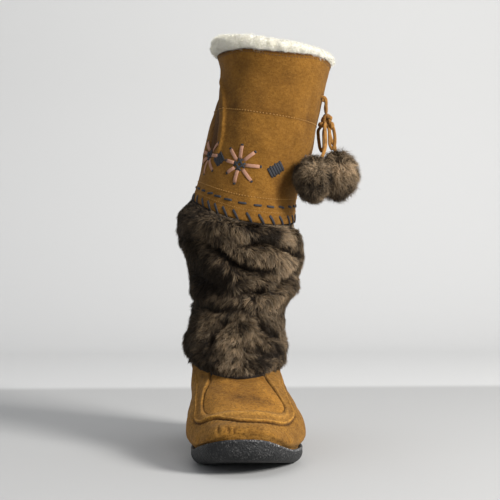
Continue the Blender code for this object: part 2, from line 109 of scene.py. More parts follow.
SHAFT_RINGS = (
    # ankle, narrow ankle, calf, full calf, under the hem
    (8, 142, -43, 33, 107, 105, 104, 106),
    (10, 133, -41, 34, 126, 124, 124, 125),
    (9, 130, -41, 45, 152, 149, 150, 153),
    (8, 131, -46, 50, 190, 185, 186, 196),
    (13, 122, -41.5, 46.5, 224.5, 215.5, 214.5, 237.5),
)
CUFF_RINGS = (
    # hem edge, low, lower middle, middle, high, neck, collar
    (8, 128, -48.5, 53.5, 228, 219, 218, 241),
    (7, 127, -41.5, 57, 252, 246, 245, 262),
    (6, 128, -37.5, 66, 278, 272, 272, 287),
    (5, 128, -31.5, 73.5, 302, 296, 299, 310),
    (5, 127, -24.7, 78.3, 329, 325, 329, 336),
    (4, 126, -18.8, 85.5, 359, 352, 359, 366),
    (0, 130, -23.6, 91.5, 381, 376, 380.5, 386),
)
INSTEP = 7.0
HEM = 13.0
CUFF_EDGE = 14.0
# Extra wall inside the cuff at each of its levels
HEM_EXTRA = (7.5, 2.0, 0.0, 0.0, 0.0, 0.0, 0.0)
COLLAR = 20.0
FUR_GAP = 0.5
FUR_RINGS = (
    # hem, bottom roll, low, above the roll, crease, swell,
    # calf, full calf, fullest, upper roll, shoulder, top
    (-1, 180, -51, 40, 81, 79, 76.5, 81),
    (-6, 182, -57, 44, 92, 89, 86, 93),
    (-6, 171, -56, 44, 106, 104, 102, 108),
    (-3, 158, -52, 43.5, 122, 119, 119, 121),
    (-1, 149, -50.5, 45.5, 135, 134, 134, 132),
    (-3, 148, -51.5, 57.5, 148, 149, 148, 146),
    (-5, 149, -53, 59.5, 164, 163, 163, 162),
    (-7, 150, -55.5, 63.5, 182, 179, 179, 180),
    (-8, 151, -62.5, 64, 199, 193, 192, 199),
    (-7, 149, -64.5, 61.5, 211, 204, 202, 212),
    (-3, 143, -59.5, 58, 220, 212, 210, 226),
    (6, 131, -50.5, 53, 224, 215.5, 213.5, 236),
    # tucked in under the cuff
    (11.5, 124.5, -44.5, 49, 231, 222.5, 220.5, 243),
    (12.8, 122.6, -42.2, 48.6, 240, 231, 229, 252),
)
FUR_TOP = 11.0
FUR_END = 13.0
# Inner face of the fur above the shaft's hem ring
FUR_INSIDE = (
    (13.3, 122.2, -41.6, 47.8, 232, 223.5, 221.5, 244),
    (13.5, 122.0, -41.5, 48.0, 240, 231, 229, 252),
)
# Moccasin seam and the plug's edge on the foot: station, angle, level. Stations 1 and 2 are the corners
SEAM_LINE = (
    (0.0, 1.50, 7.3), (0.25, 1.66, 6.3), (0.5, 1.85, 5.62), (0.7, 2.03, 4.95), (0.85, 2.13, 4.22), (0.94, 2.17, 3.80),
    (1.0, 2.23, 3.60), (1.07, 2.34, 3.585), (1.15, 2.45, 3.60), (1.3, 2.65, 3.60), (1.45, 2.85, 3.60), (1.6, 3.07, 3.52), (1.7, 3.18, 3.66),
    (1.78, 3.33, 3.98), (1.86, 3.5, 4.16), (1.93, 3.68, 3.98), (1.99, 3.84, 3.66), (2.04, 3.96, 3.52), (2.08, 4.02, 3.58), (2.12, 4.05, 3.80),
    (2.17, 4.1, 4.10), (2.26, 4.17, 4.5), (2.42, 4.26, 5.15), (2.6, 4.36, 5.6), (2.8, 4.52, 6.2), (3.0, 4.7, 7.1),
)
PLUG_LINE = (
    (0.0, 2.62, 7.3), (0.25, 2.53, 6.75), (0.5, 2.44, 6.2), (0.7, 2.385, 5.8), (0.85, 2.36, 5.4), (0.95, 2.365, 5.02),
    (1.03, 2.39, 4.78), (1.09, 2.46, 4.70), (1.15, 2.54, 4.72), (1.3, 2.7, 4.8), (1.42, 2.85, 4.88), (1.55, 3.0, 4.98), (1.65, 3.15, 5.0),
    (1.75, 3.3, 4.98), (1.84, 3.45, 4.86), (1.92, 3.6, 4.74), (1.99, 3.72, 4.76), (2.06, 3.81, 4.92), (2.14, 3.88, 5.15),
    (2.26, 3.925, 5.5), (2.42, 3.92, 5.85), (2.62, 3.86, 6.3), (2.82, 3.78, 6.8), (3.0, 3.72, 7.3),
)
# Station of the plug's front point
PLUG_FRONT = 1.6
# Pleats of the wall drawn up under the seam
PLEAT_PITCH = 4.6
LINING_PROUD = {"back": 11.0, "outer": 6.5, "front": 10.0, "inner": 15.0}
# How far the fleece rolls out over the cuff at back, outer side, front and inner side
LINING_BULGE = (1.0, 0.5, 1.0, 4.0)
# Millimetres from the level below the collar up to it
COLLAR_STEP = 22.0
COLLAR_PROFILE = (
    # inset from the cuff's edge, drop under it, share of the height above it, share of the bulge
    (4.2, 30.0, 0.0, 0.0),
    (4.1, 14.0, 0.0, 0.0),
    (4.0, 6.0, 0.0, 0.0),
    (3.0, 0.0, 0.02, 0.1),
    (0.5, 0.0, 0.25, 1.0),
    (-0.8, 0.0, 0.55, 1.0),
    (0.5, 0.0, 0.85, 1.0),
    (3.0, 0.0, 1.0, 0.6),
    (6.5, 0.0, 0.97, 0.1),
    (9.5, 0.0, 0.72, 0.0),
    (10.8, 0.0, 0.3, 0.0),
    (11.0, 6.0, 0.0, 0.0),
    (11.0, 14.0, 0.0, 0.0),
    (10.8, 30.0, 0.0, 0.0),
)

# Lace and pompoms: the same routes as the solids
TIE_HOLES = ((1.955, 18.6), (1.6, 18.6))
TIE_FALL = ((84.0, -20.6, 332.5), (84.8, -14.0, 326.5), (84.8, -8.2, 332.5))
KNOT_CENTRE = (85.5, -14.0, 319.5)
KNOT_SIZE = (4.6, 5.0, 6.0)
# Lumps of the knot: offset from its centre, size, and the bands of lace round it.
# A band is the lean and slew of its axis, and its place along it
KNOT_LUMPS = (
    ((0.0, 0.0, 0.0), KNOT_SIZE, ((1.35, 0.5, 0.0), (0.5, 1.9, 1.6), (0.75, -1.1, -1.7), (1.15, 2.5, 0.8))),
    ((3.9, -3.0, -5.2), (2.3, 2.4, 3.1), ((1.4, 0.2, 0.0), (0.9, 1.6, 0.3))),
    ((1.6, -3.6, 2.6), (2.5, 2.2, 2.3), ((0.4, 0.6, 0.0),)),
    ((-5.6, -1.4, -4.2), (2.4, 2.4, 1.9), ((1.2, 1.3, 0.0), (0.3, 0.2, 0.2))),
)
LACE_THICKNESS = 1.9
LOOP_FRONT = (
    (90.6, -18.5, 313.5),
    (92.0, -20.0, 308.0),
    (92.6, -21.4, 301.0),
    (92.0, -22.2, 294.5),
    (89.8, -22.2, 290.4),
    (87.8, -21.4, 294.5),
    (87.4, -20.4, 302.0),
    (87.4, -18.8, 310.0),
)
LOOP_BACK = (
    (80.6, -8.4, 314.4),
    (78.0, -6.0, 311.0),
    (78.2, -3.2, 305.5),
    (79.2, -1.0, 299.0),
    (80.4, -0.4, 293.0),
    (81.9, -1.6, 290.0),
    (83.2, -3.6, 293.5),
    (83.2, -6.0, 301.0),
    (83.0, -9.8, 309.5),
)
END_FRONT = (
    (82.6, -22.5, 314.5),
    (82.4, -25.5, 308.0),
    (82.2, -30.5, 301.0),
    (81.4, -37.0, 294.0),
    (79.6, -43.5, 287.5),
)
END_BACK = (
    (88.4, -9.0, 311.5),
    (89.4, -8.4, 305.5),
    (91.4, -9.6, 299.0),
    (93.6, -12.6, 294.0),
)
POMPOM_FRONT = (66.5, -58.5, 259.0)
POMPOM_BACK = (95.5, -19.5, 265.0)
POMPOM_SIZE = (19.5, 19.5, 24.0)
POMPOM_PILE = 6.5
# Light and dark patches of each pompom, partly the fur's own patches and partly painted light and shade, lighter on top
# towards the light and darker underneath, away from the light and between the two balls: direction, radius, strength
FRONT_SPOTS = (
    ((0.1, -0.85, 0.55), 0.42, 0.8),
    ((-0.5, -0.8, 0.25), 0.35, 0.5),
    ((0.9, -0.45, -0.05), 0.38, -0.4),
    ((-0.35, -0.85, -0.35), 0.5, -0.4),
    ((0.1, -0.6, -0.85), 0.35, 0.15),
    ((-0.95, -0.2, 0.0), 0.5, -0.15),
)
BACK_SPOTS = (
    ((-0.1, -0.9, 0.3), 0.55, 1.4),
    ((0.6, -0.7, 0.5), 0.45, 0.85),
    ((0.9, -0.3, -0.1), 0.40, 0.4),
    ((0.2, -0.6, -0.75), 0.45, -0.4),
    ((0.2, -0.2, 0.95), 0.35, -0.1),
)

# Stitches and ornament on the cuff: angles seen from the front, then levels, and for a diamond its share of
# the full width
RUNNING_SEEN = (2.208, 2.474, 2.753, 3.006, 3.268, 3.539, 3.770, 3.966, 4.189)
RUNNING_LEVEL = 14.6
WHIP_SEEN = (2.256, 2.505, 2.727, 2.950, 3.155, 3.390, 3.600, 3.783, 3.958, 4.141, 4.363)
STITCH_ROUND = 350.0
STARS = ((3.47, 15.9), (4.28, 16.0), (5.74, 15.9), (7.09, 15.9), (8.25, 15.9))
DIAMONDS = ((2.823, 15.9, 1.0), (3.93, 15.93, 0.7), (5.07, 15.9, 1.0), (6.42, 15.9, 1.0), (7.76, 15.9, 1.0))
RAY_ANGLES = (8, 52, 99, 145, 195, 239, 287, 328)
RAY_START = 5.6
RAY_REACH = (18.4, 17.8, 18.6, 19.2, 18.4, 14.6, 15.0, 17.8)
HASH_TILT = math.radians(32)
DIAMOND_TILT = math.radians(31)
DIAMOND_BARS = (10.0, 11.4, 10.0, 11.8, 10.2, 11.0)
DIAMOND_PITCH = 2.7

# Folds of the fur wrap: angle and ring number along each trough, then its width and depth
FUR_FOLDS = (
    (((4.72, 8.25), (4.5, 8.2), (4.11, 8.1), (3.82, 8.0), (3.56, 7.6), (3.4, 6.9), (3.2, 6.55), (2.97, 6.45), (2.66, 6.4)), 5.0, 10.0),
    (((3.3, 8.4), (3.1, 8.6), (2.9, 9.0), (2.69, 8.9), (2.48, 8.25), (2.1, 7.5), (1.8, 7.2)), 5.0, 9.5),
    (((3.35, 5.1), (3.0, 5.1), (2.73, 5.0), (2.5, 5.45), (2.19, 5.95), (1.7, 6.3)), 4.6, 9.5),
    (((4.9, 4.6), (4.52, 4.45), (3.95, 4.25), (3.6, 4.12), (3.33, 4.08), (3.0, 4.12)), 2.8, 7.0),
    (((2.95, 3.6), (2.71, 3.03), (2.48, 2.62), (2.17, 2.25)), 3.6, 4.5),
    (((3.41, 3.6), (3.56, 3.1), (3.67, 2.6), (3.74, 1.9)), 4.4, 5.5),
    (((4.4, 6.5), (4.1, 5.95), (3.71, 5.65), (3.5, 5.9)), 6.0, 5.5),
    (((2.9, 1.8), (2.6, 1.5), (2.1, 1.15)), 5.0, 3.0),
    (((6.1, 8.4), (5.75, 7.9), (5.4, 7.9)), 5.0, 8.0),
    (((0.4, 6.6), (0.0, 6.2), (-0.4, 6.4), (-0.9, 5.9), (-1.3, 5.6)), 5.0, 8.0),
    (((1.7, 5.0), (1.2, 4.6), (0.7, 4.3), (0.2, 4.4), (-0.3, 4.2)), 4.5, 7.0),
    (((1.6, 8.3), (1.1, 8.0), (0.7, 8.4), (0.3, 8.2)), 5.0, 6.5),
    (((1.5, 2.9), (1.1, 2.4), (0.6, 2.6), (0.1, 2.2)), 4.5, 5.0),
    (((5.6, 2.8), (5.2, 2.4), (4.8, 2.7), (4.5, 2.5)), 4.5, 2.5),
)
SHELL_DEPTH = 5.0
# Height of the backing below the cuff's hem: angles, then millimetres
FUR_SHOULDER = ((0.0, 1.2, 1.9, 2.4, 3.0, 4.2, 5.0, TURN), (0.0, -4.0, -4.0, -0.5, 1.5, 1.5, 0.0, 0.0))
# Painted shade of the pile round the boot, darkest on its inner side: angles, then shares of brightness
FUR_SIDE_SHADE = (
    (0.0, 1.0, 2.0, 3.1, 3.4, 3.9, 4.3, 4.8, 5.4, TURN),
    (0.7, 0.75, 0.9, 1.0, 0.85, 0.36, 0.1, 0.36, 0.6, 0.7),
)
# Light and dark patches of the pile, partly the fur's own patches and partly painted light on its humps and painted
# shade: angle, ring number, radius, strength
FUR_PATCHES = (
    (2.5, 6.95, 19, 0.55),
    (2.3, 7.6, 14, 0.3),
    (2.35, 9.5, 15, 0.42),
    (3.1, 7.9, 18, 0.3),
    (3.4, 8.5, 14, 0.12),
    (3.1, 5.75, 14, 0.28),
    (2.75, 5.6, 10, 0.1),
    (2.42, 5.1, 15, 0.45),
    (2.5, 4.2, 13, 0.18),
    (3.42, 2.5, 9, 0.75),
    (3.9, 3.7, 12, 0.25),
    (3.15, 1.4, 14, 0.42),
    (2.92, 2.7, 9, 0.42),
    (2.62, 2.4, 8, 0.3),
    (3.7, 9.4, 17, 0.16),
    (3.75, 4.7, 12, 0.22),
    (3.9, 3.1, 14, 0.16),
    (2.3, 0.9, 10, 0.25),
    (3.85, 6.0, 18, -0.4),
    (3.55, 9.0, 14, -0.12),
    (2.75, 1.8, 15, -0.42),
    (2.3, 2.0, 12, -0.2),
    (3.8, 1.6, 14, -0.15),
    (3.0, 3.9, 11, 0.2),
    (2.8, 4.6, 12, 0.25),
    (2.9, 9.9, 12, -0.1),
    (1.5, 7.0, 20, 0.3),
    (1.0, 3.0, 18, 0.25),
    (0.3, 7.5, 22, 0.3),
    (-0.6, 3.5, 20, 0.2),
    (5.2, 6.0, 20, 0.2),
    (0.8, 5.6, 16, -0.3),
    (5.6, 8.6, 18, -0.2),
)

# Creases of the suede foot and cuff: angle and level along each line, then its width and height
FOOT_CREASES = (
    (((3.42, 3.1), (3.41, 2.5), (3.39, 1.9)), 1.3, -1.2),
    (((3.30, 2.95), (3.27, 2.2), (3.27, 1.7)), 1.3, -1.3),
    (((3.20, 2.85), (3.21, 2.15), (3.21, 1.5)), 1.3, -1.2),
    (((3.36, 3.0), (3.34, 2.3), (3.33, 1.8)), 2.0, 0.2),
    (((3.25, 2.9), (3.24, 2.2), (3.24, 1.6)), 2.0, 0.2),
    (((2.55, 2.9), (2.53, 2.2), (2.50, 1.7)), 2.2, -0.7),
    (((3.75, 2.6), (3.78, 2.0), (3.80, 1.5)), 2.2, -0.6),
    (((4.6, 4.6), (4.4, 4.2), (4.25, 3.9)), 5.0, -0.6),
    (((1.9, 5.2), (1.75, 4.4), (1.6, 3.9)), 5.0, -0.6),
    (((5.3, 5.5), (5.1, 5.0), (4.8, 4.9)), 6.0, -0.5),
    (((0.9, 5.6), (1.1, 5.0), (1.4, 5.1)), 6.0, -0.5),
)
CUFF_CREASES = (
    (((4.75, 19.3), (4.57, 18.75), (4.26, 18.3), (4.08, 17.7), (3.99, 17.05), (3.98, 16.5), (4.03, 15.7)), 2.0, 3.2),
    (((5.0, 18.8), (4.62, 18.0), (4.36, 17.2), (4.26, 16.5), (4.32, 15.7)), 7.0, -4.2),
    (((4.2, 18.6), (3.9, 17.9), (3.78, 17.2), (3.76, 16.5)), 7.0, -0.9),
    (((3.7, 19.2), (3.3, 18.9), (2.9, 18.8), (2.5, 18.95)), 8.0, -0.8),
    (((2.35, 18.9), (2.3, 18.0), (2.25, 17.2)), 7.0, -0.9),
    (((3.8, 17.5), (3.4, 17.35), (3.0, 17.3)), 5.0, -0.5),
    (((2.7, 15.5), (2.6, 15.0), (2.5, 14.6)), 5.0, -0.8),
    (((3.2, 15.2), (3.15, 14.9), (3.1, 14.5)), 5.0, 0.7),
    (((1.3, 19.3), (1.1, 18.2), (1.2, 17.2)), 8.0, -1.2),
    (((0.2, 19.2), (0.1, 18.0), (0.3, 16.8)), 9.0, -1.6),
    (((5.5, 19.0), (5.4, 17.8), (5.6, 16.6)), 9.0, -1.4),
)

# Worn spots of the plug: angle, level, radius, strength
PLUG_PATCHES = (
    (3.15, 6.0, 12, -0.26),
    (2.85, 5.5, 9, -0.15),
    (3.45, 5.4, 9, 0.12),
)

# Soiled and faded spots of the cuff, and painted shade: the front pompom's painted shadow and painted shade beyond the
# corner ridge. Angle, level, radius, strength
CUFF_PATCHES = (
    (3.85, 19.1, 9, -0.24),
    (3.25, 18.05, 9, -0.22),
    (2.85, 17.85, 12, -0.22),
    (3.5, 15.0, 9, -0.18),
    (2.95, 15.3, 12, 0.22),
    (2.6, 19.2, 14, 0.18),
    (2.3, 18.2, 14, 0.16),
    (3.2, 17.0, 12, 0.12),
    (3.7, 17.2, 8, -0.12),
    (3.0, 19.2, 14, 0.08),
    (1.0, 18.4, 14, -0.2),
    (0.0, 16.6, 16, 0.15),
    # The next three spots are painted shade beyond the corner ridge
    (4.32, 17.2, 15, -0.34),
    (4.45, 18.2, 14, -0.3),
    (4.3, 16.1, 12, -0.35),
    # The next spot is the front pompom's painted shadow
    (2.55, 15.4, 12, -0.75),
    (5.5, 18.6, 14, -0.2),
)

# Camera, aimed at the middle of the boot
CAMERA = (-60.0, -1205.0, 190.0)
LOOK_AT = (9.5, 0.0, 190.6)
LENS = 86.4
# The backdrop's paler part starts this far behind the boot, in metres
WALL_FROM = 0.46
WALL_TO_FLOOR = 1.38
SENSOR = 36.0


# Reading curves and rings


def smooth(at, knots, values):
    """Reads a smooth curve through values given at knots: cubic pieces, each slope from its neighbours."""
    knots = np.asarray(knots, float)
    values = np.asarray(values, float)
    at = np.clip(np.atleast_1d(np.asarray(at, float)), knots[0], knots[-1])
    slopes = np.gradient(values, knots, axis=0)
    i = np.clip(np.searchsorted(knots, at, side="right") - 1, 0, len(knots) - 2)
    span = knots[i + 1] - knots[i]
    t = (at - knots[i]) / span
    shape = t.shape + (1,) * (values.ndim - 1)
    t = t.reshape(shape)
    span = span.reshape(shape)
    near = (1 + 2 * t) * (1 - t) ** 2 * values[i] + t * (1 - t) ** 2 * span * slopes[i]
    far = t * t * (3 - 2 * t) * values[i + 1] + t * t * (t - 1) * span * slopes[i + 1]
    return near + far


def route(points, count):
    """Even points along a smooth curve through a route's points."""
    points = np.asarray(points, float)
    run = np.concatenate([[0], np.cumsum(np.linalg.norm(np.diff(points, axis=0), axis=1))])
    fine = smooth(np.linspace(0, run[-1], 12 * count), run, points)
    run = np.concatenate([[0], np.cumsum(np.linalg.norm(np.diff(fine, axis=0), axis=1))])
    at = np.linspace(0, run[-1], count)
    return np.stack([np.interp(at, run, fine[:, i]) for i in range(3)], -1)


def unit(vectors):
    return vectors / (np.linalg.norm(vectors, axis=-1, keepdims=True) + 1e-12)


def sole_bottom(s):
    """Underside: flat heel, low arch, flat forefoot, then toe spring."""
    rise = np.clip((s - FOREFOOT_END) / (BOOT_LENGTH - FOREFOOT_END), 0, 1)
    over = np.clip((s - HEEL_FLAT_END) / (FOREFOOT_START - HEEL_FLAT_END), 0, 1)
    return TOE_SPRING * rise**TOE_SPRING_CURVE + ARCH_RISE * np.sin(np.pi * over) ** 2


def sole_floor(s):
    table = np.array(SOLE_SIDE)
    return sole_bottom(s) + smooth(s, table[:, 0], table[:, 1])


def sole_rim(s, theta):
    """Rim height: higher on the inner side of the toe."""
    table = np.array(SOLE_SIDE)
    toe = np.clip((s - RIM_LEAN_FROM) / (BOOT_LENGTH - RIM_LEAN_FROM), 0, 1)
    return smooth(s, table[:, 0], table[:, 2]) - RIM_LEAN * np.sin(theta) * np.sin(np.pi * toe)


def power(wave, rounding):
    """A sine or cosine squared off: its size to a power under one, its sign kept."""
    return np.sign(wave) * np.abs(wave) ** rounding


def foot_ring(values, theta):
    """Ring with its own half widths and heights at heel, waist, ball and toe; (x, y, z) for each angle."""
    row = dict(zip(FOOT_COLUMNS, values))
    along = (1 - np.cos(theta)) / 2
    s = row["back"] + (row["front"] - row["back"]) * along
    inner = smooth(along, FOOT_STATIONS, [row[k + "_in"] for k in ("heel", "waist", "ball", "toe")])
    outer = smooth(along, FOOT_STATIONS, [row[k + "_out"] for k in ("heel", "waist", "ball", "toe")])
    rounding = HEEL_ROUNDING + (TOE_ROUNDING - HEEL_ROUNDING) * along
    x = (inner + outer) / 2 + (outer - inner) / 2 * power(np.sin(theta), rounding)
    heights = [row["z_" + k] for k in ("back", "waist", "ball", "toe", "front")]
    z = smooth(along, (0.0,) + FOOT_STATIONS[1:] + (1.0,), heights)
    return np.stack([x, HEEL_Y - s, z], -1)


def shaft_ring(values, theta):
    """Rounded oval given by its four sides, with a height at each side."""
    row = dict(zip(SHAFT_COLUMNS, values))
    across = power(np.sin(theta), SHAFT_ROUNDING)
    ahead = power(-np.cos(theta), SHAFT_ROUNDING)
    x = (row["outer"] + row["inner"]) / 2 + (row["outer"] - row["inner"]) / 2 * across
    s = (row["front"] + row["back"]) / 2 + (row["front"] - row["back"]) / 2 * ahead
    z = four_sides(theta, row["z_back"], row["z_out"], row["z_front"], row["z_in"])
    return np.stack([x, HEEL_Y - s, z], -1)


def four_sides(theta, back, outer, front, inner):
    """A value that passes smoothly through its value at each of the four sides."""
    mean = (back + outer + front + inner) / 4
    first = (back - front) / 2 * np.cos(theta) + (outer - inner) / 2 * np.sin(theta)
    return mean + first + (back + front - outer - inner) / 4 * np.cos(2 * theta)


def sole_ring(theta, inset, height):
    """The sole's outline moved inwards; height is a function of s and angle."""
    step = 0.08
    edge = foot_ring(SOLE_EDGE, theta)
    run = foot_ring(SOLE_EDGE, theta + step) - foot_ring(SOLE_EDGE, theta - step)
    out = unit(np.stack([-run[:, 1], run[:, 0], np.zeros(len(theta))], -1))
    ring = edge - inset * out
    ring[:, 2] = height(HEEL_Y - edge[:, 1], theta)
    return ring


# Skins: surfaces read at any angle and level


class Skin:
    """A surface known on a fine grid of levels (rows) and angles (columns), read between them in straight lines."""

    def __init__(self, levels, grid):
        self.levels = np.asarray(levels, float)
        self.columns = grid.shape[1]
        closed = np.concatenate([grid, grid[:, :1]], axis=1)
        wide = np.concatenate([grid[:, -1:], grid, grid[:, :1]], axis=1)
        along = unit((wide[:, 2:] - wide[:, :-2]) / 2)
        up = unit(np.gradient(grid, self.levels, axis=0))
        out = unit(np.cross(up, along))
        self.grid = closed
        self.along = np.concatenate([along, along[:, :1]], axis=1)
        self.up = np.concatenate([up, up[:, :1]], axis=1)
        self.out = np.concatenate([out, out[:, :1]], axis=1)

    def read(self, field, theta, level):
        """Value of a grid at scattered places: a straight mean of the four grid points round each."""
        column = np.mod(theta, TURN) / TURN * self.columns
        j = np.clip(np.floor(column).astype(int), 0, self.columns - 1)
        row = np.interp(level, self.levels, np.arange(len(self.levels)))
        i = np.clip(np.floor(row).astype(int), 0, len(self.levels) - 2)
        a = (row - i)[..., None]
        b = (column - j)[..., None]
        low = field[i, j] * (1 - b) + field[i, j + 1] * b
        high = field[i + 1, j] * (1 - b) + field[i + 1, j + 1] * b
        return low * (1 - a) + high * a

    def at(self, theta, level, lift=0.0):
        """Points of the surface, moved off it by lift."""
        theta, level = np.broadcast_arrays(np.asarray(theta, float), np.asarray(level, float))
        out = unit(self.read(self.out, theta, level))
        return self.read(self.grid, theta, level) + np.asarray(lift, float)[..., None] * out

    def axes(self, theta, level):
        """Directions along the ring, up the surface and out of it."""
        theta, level = np.broadcast_arrays(np.asarray(theta, float), np.asarray(level, float))
        return [unit(self.read(field, theta, level)) for field in (self.along, self.up, self.out)]


def stacked(rings, levels):
    """Points at each level on smooth curves through a stack of rings."""
    return smooth(levels, np.arange(len(rings)), np.array(rings))


def lines_near(points, skin, lines, lift=0.0):
    """Height of soft creases: a bell across each line, lower towards the line's two ends.

    Each line is a row of (angle, level) pairs on the skin, a width and a height, which is negative for a trough.
    """
    flat = points.reshape(-1, 3)
    height = np.zeros(len(flat))
    for pairs, width, rise in lines:
        pairs = np.array(pairs)
        path = route(skin.at(pairs[:, 0], pairs[:, 1], lift), 72)
        share = np.linspace(0, 1, len(path))
        strength = np.clip(np.sin(np.pi * share), 0, 1) ** 0.5
        close = np.linalg.norm(flat - path.mean(0), axis=1) < np.ptp(path, axis=0).max() + 4 * width
        gaps = np.linalg.norm(flat[close, None] - path[None], axis=2)
        bell = (np.exp(-((gaps / width) ** 2)) * strength).max(1)
        height[close] += rise * bell
    return height.reshape(points.shape[:-1])


def at_stations(line, stations):
    """Angles and levels of a line's smooth curve at any stations."""
    line = np.array(line)
    return smooth(stations, line[:, 0], line[:, 1:]).T


def patched(points, skin, patches):
    """Sum of round soft spots on a skin: each falls off as a bell over its radius."""
    total = np.zeros(points.shape[:-1])
    for theta, level, radius, strength in patches:
        centre = skin.at(theta, level)
        total += strength * np.exp(-(((points - centre) ** 2).sum(-1)) / radius**2)
    return total


def near(points, path):
    """Distance from each point to the closest point of a dense path, and that point's number."""
    flat = points.reshape(-1, 3)
    gaps, numbers = [], []
    for part in np.array_split(flat, 40):
        apart = np.linalg.norm(part[:, None] - path[None], axis=2)
        numbers.append(apart.argmin(1))
        gaps.append(apart.min(1))
    shape = points.shape[:-1]
    return np.concatenate(gaps).reshape(shape), np.concatenate(numbers).reshape(shape)


def step(value, low, high):
    """Smooth step from 0 at low to 1 at high."""
    share = np.clip((np.asarray(value, float) - low) / (high - low), 0, 1)
    return share * share * (3 - 2 * share)


def waves(points, size, seed, count=9):
    """Soft noise between about -1 and 1: a mean of sine waves of one size in random directions."""
    rng = np.random.default_rng(seed)
    ways = unit(rng.normal(size=(count, 3))) * (TURN / size) * rng.uniform(0.7, 1.4, (count, 1))
    phases = rng.uniform(0, TURN, count)
    return np.sin(points @ ways.T + phases).sum(-1) * math.sqrt(2 / count) * 0.75


def make_skins():
    """Fine skins of the foot and shaft, the cuff, the fur's outer form, the inner wall and the fur's inner face."""
    theta = np.arange(720) * TURN / 720
    inset = CUP_WALL + GAP
    feather = sole_ring(theta, inset, lambda s, _: sole_floor(s) + GAP)
    rim = sole_ring(theta, inset, lambda s, at: sole_rim(s, at) + GAP)
    low = [feather, rim] + [foot_ring(row, theta) for row in FOOT_RINGS]
    low += [shaft_ring(row, theta) for row in SHAFT_RINGS]
    levels = np.linspace(0, HEM, 521)
    body = Skin(levels, stacked(low, levels))
    cuff_levels = np.linspace(0, COLLAR - CUFF_EDGE, 301)
    cuff_rings = [shaft_ring(row, theta) for row in CUFF_RINGS]
    cuff = Skin(cuff_levels + CUFF_EDGE, stacked(cuff_rings, cuff_levels))
    fur_levels = np.linspace(0, len(FUR_RINGS) - 1, 521)
    fur = Skin(fur_levels, stacked([shaft_ring(row, theta) for row in FUR_RINGS], fur_levels))
    rings = [body.at(theta, level, -WALL) for level in range(int(HEM) + 1)]
    rings += [cuff.at(theta, level, -WALL - extra) for level, extra in zip(range(14, 21), HEM_EXTRA)]
    inside_levels = np.linspace(0, COLLAR, 241)
    inside = Skin(inside_levels, stacked(rings, inside_levels))
    rings = [body.at(theta, level, FUR_GAP) for level in np.arange(INSTEP, HEM + 1)]
    rings += [shaft_ring(row, theta) for row in FUR_INSIDE]
    fur_inside_levels = np.linspace(0, len(rings) - 1, 161)
    fur_inside = Skin(fur_inside_levels + INSTEP, stacked(rings, fur_inside_levels))
    return {"body": body, "cuff": cuff, "fur": fur, "inside": inside, "fur_inside": fur_inside}


SKINS = make_skins()


# Meshes


def piece(name, points, faces, finish, node=None, colours=None):
    """Object from millimetre points and arrays of faces; each row of an array is one face."""
    points = np.asarray(points, float).reshape(-1, 3) * MM
    faces = [np.asarray(group) for group in faces if len(group)]
    sizes = np.concatenate([np.full(len(group), group.shape[1]) for group in faces])
    loops = np.concatenate([group.ravel() for group in faces])
    mesh = bpy.data.meshes.new(name)
    mesh.vertices.add(len(points))
    mesh.vertices.foreach_set("co", points.ravel())
    mesh.loops.add(len(loops))
    mesh.loops.foreach_set("vertex_index", loops)
    mesh.polygons.add(len(sizes))
    mesh.polygons.foreach_set("loop_start", np.concatenate([[0], np.cumsum(sizes)[:-1]]))
    mesh.polygons.foreach_set("loop_total", sizes)
    mesh.update(calc_edges=True)
    mesh.validate()
    mesh.shade_smooth()
    if colours is not None:
        shade = mesh.color_attributes.new("Tone", "FLOAT_COLOR", "POINT")
        full = np.concatenate([colours, np.ones((len(colours), 1))], axis=1)
        shade.data.foreach_set("color", full.ravel())
    mesh.materials.append(finish)
    body = bpy.data.objects.new(name, mesh)
    bpy.context.scene.collection.objects.link(body)
    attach(body, "root")
    if node:
        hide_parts(*([node] if isinstance(node, str) else node))
    return body


def tube_faces(sections, around, closed, start=0):
    """Quads of a tube of sections, each a closed loop of points; open tubes get flat ends."""
    index = start + np.arange(sections * around).reshape(sections, around)
    index = np.hstack([index, index[:, :1]])
    if closed:
        index = np.vstack([index, index[:1]])
    quads = np.stack([index[:-1, :-1], index[1:, :-1], index[1:, 1:], index[:-1, 1:]], -1).reshape(-1, 4)
    if closed:
        return quads
    half = around // 2
    back = np.arange(half - 1)
    ends = []
    for loop, flip in ((index[0], False), (index[-1], True)):
        cap = np.stack([loop[back], loop[back + 1], loop[around - 2 - back], loop[around - 1 - back]], -1)
        ends.append(cap[:, ::-1] if flip else cap)
    return np.concatenate([quads] + ends)


def many_tubes(tubes):
    """Points and quads of a batch of equal open tubes, as an array (tube, section, around, xyz)."""
    tubes = np.asarray(tubes)
    count, sections, around = tubes.shape[:3]
    one = tube_faces(sections, around, False)
    shift = (np.arange(count) * sections * around)[:, None, None]
    return tubes.reshape(-1, 3), (one[None] + shift).reshape(-1, 4)


def facing_out(points, faces):
    """Turns every face round if the closed shape they make has a negative volume."""
    corners = points.reshape(-1, 3)[faces]
    volume = np.einsum("ij,ij->i", corners[:, 0], np.cross(corners[:, 1], corners[:, 2])).sum()
    volume += np.einsum("ij,ij->i", corners[:, 0], np.cross(corners[:, 2], corners[:, 3])).sum()
    return faces if volume > 0 else faces[:, ::-1]


def ringed(name, outer, inner, finish, node=None, colours=None):
    """Closed wall round the boot: outer rows from low to high, then inner rows from high to low."""
    rows = np.concatenate([outer, inner[::-1]])
    sections = rows.transpose(1, 0, 2)
    faces = facing_out(sections, tube_faces(sections.shape[0], sections.shape[1], True))
    if colours is not None:
        pad = np.repeat(colours[-1:], len(inner), axis=0)
        colours = np.concatenate([colours, pad]).transpose(1, 0, 2).reshape(-1, 3)
    return piece(name, sections, [faces], finish, node, colours)


# Shader building


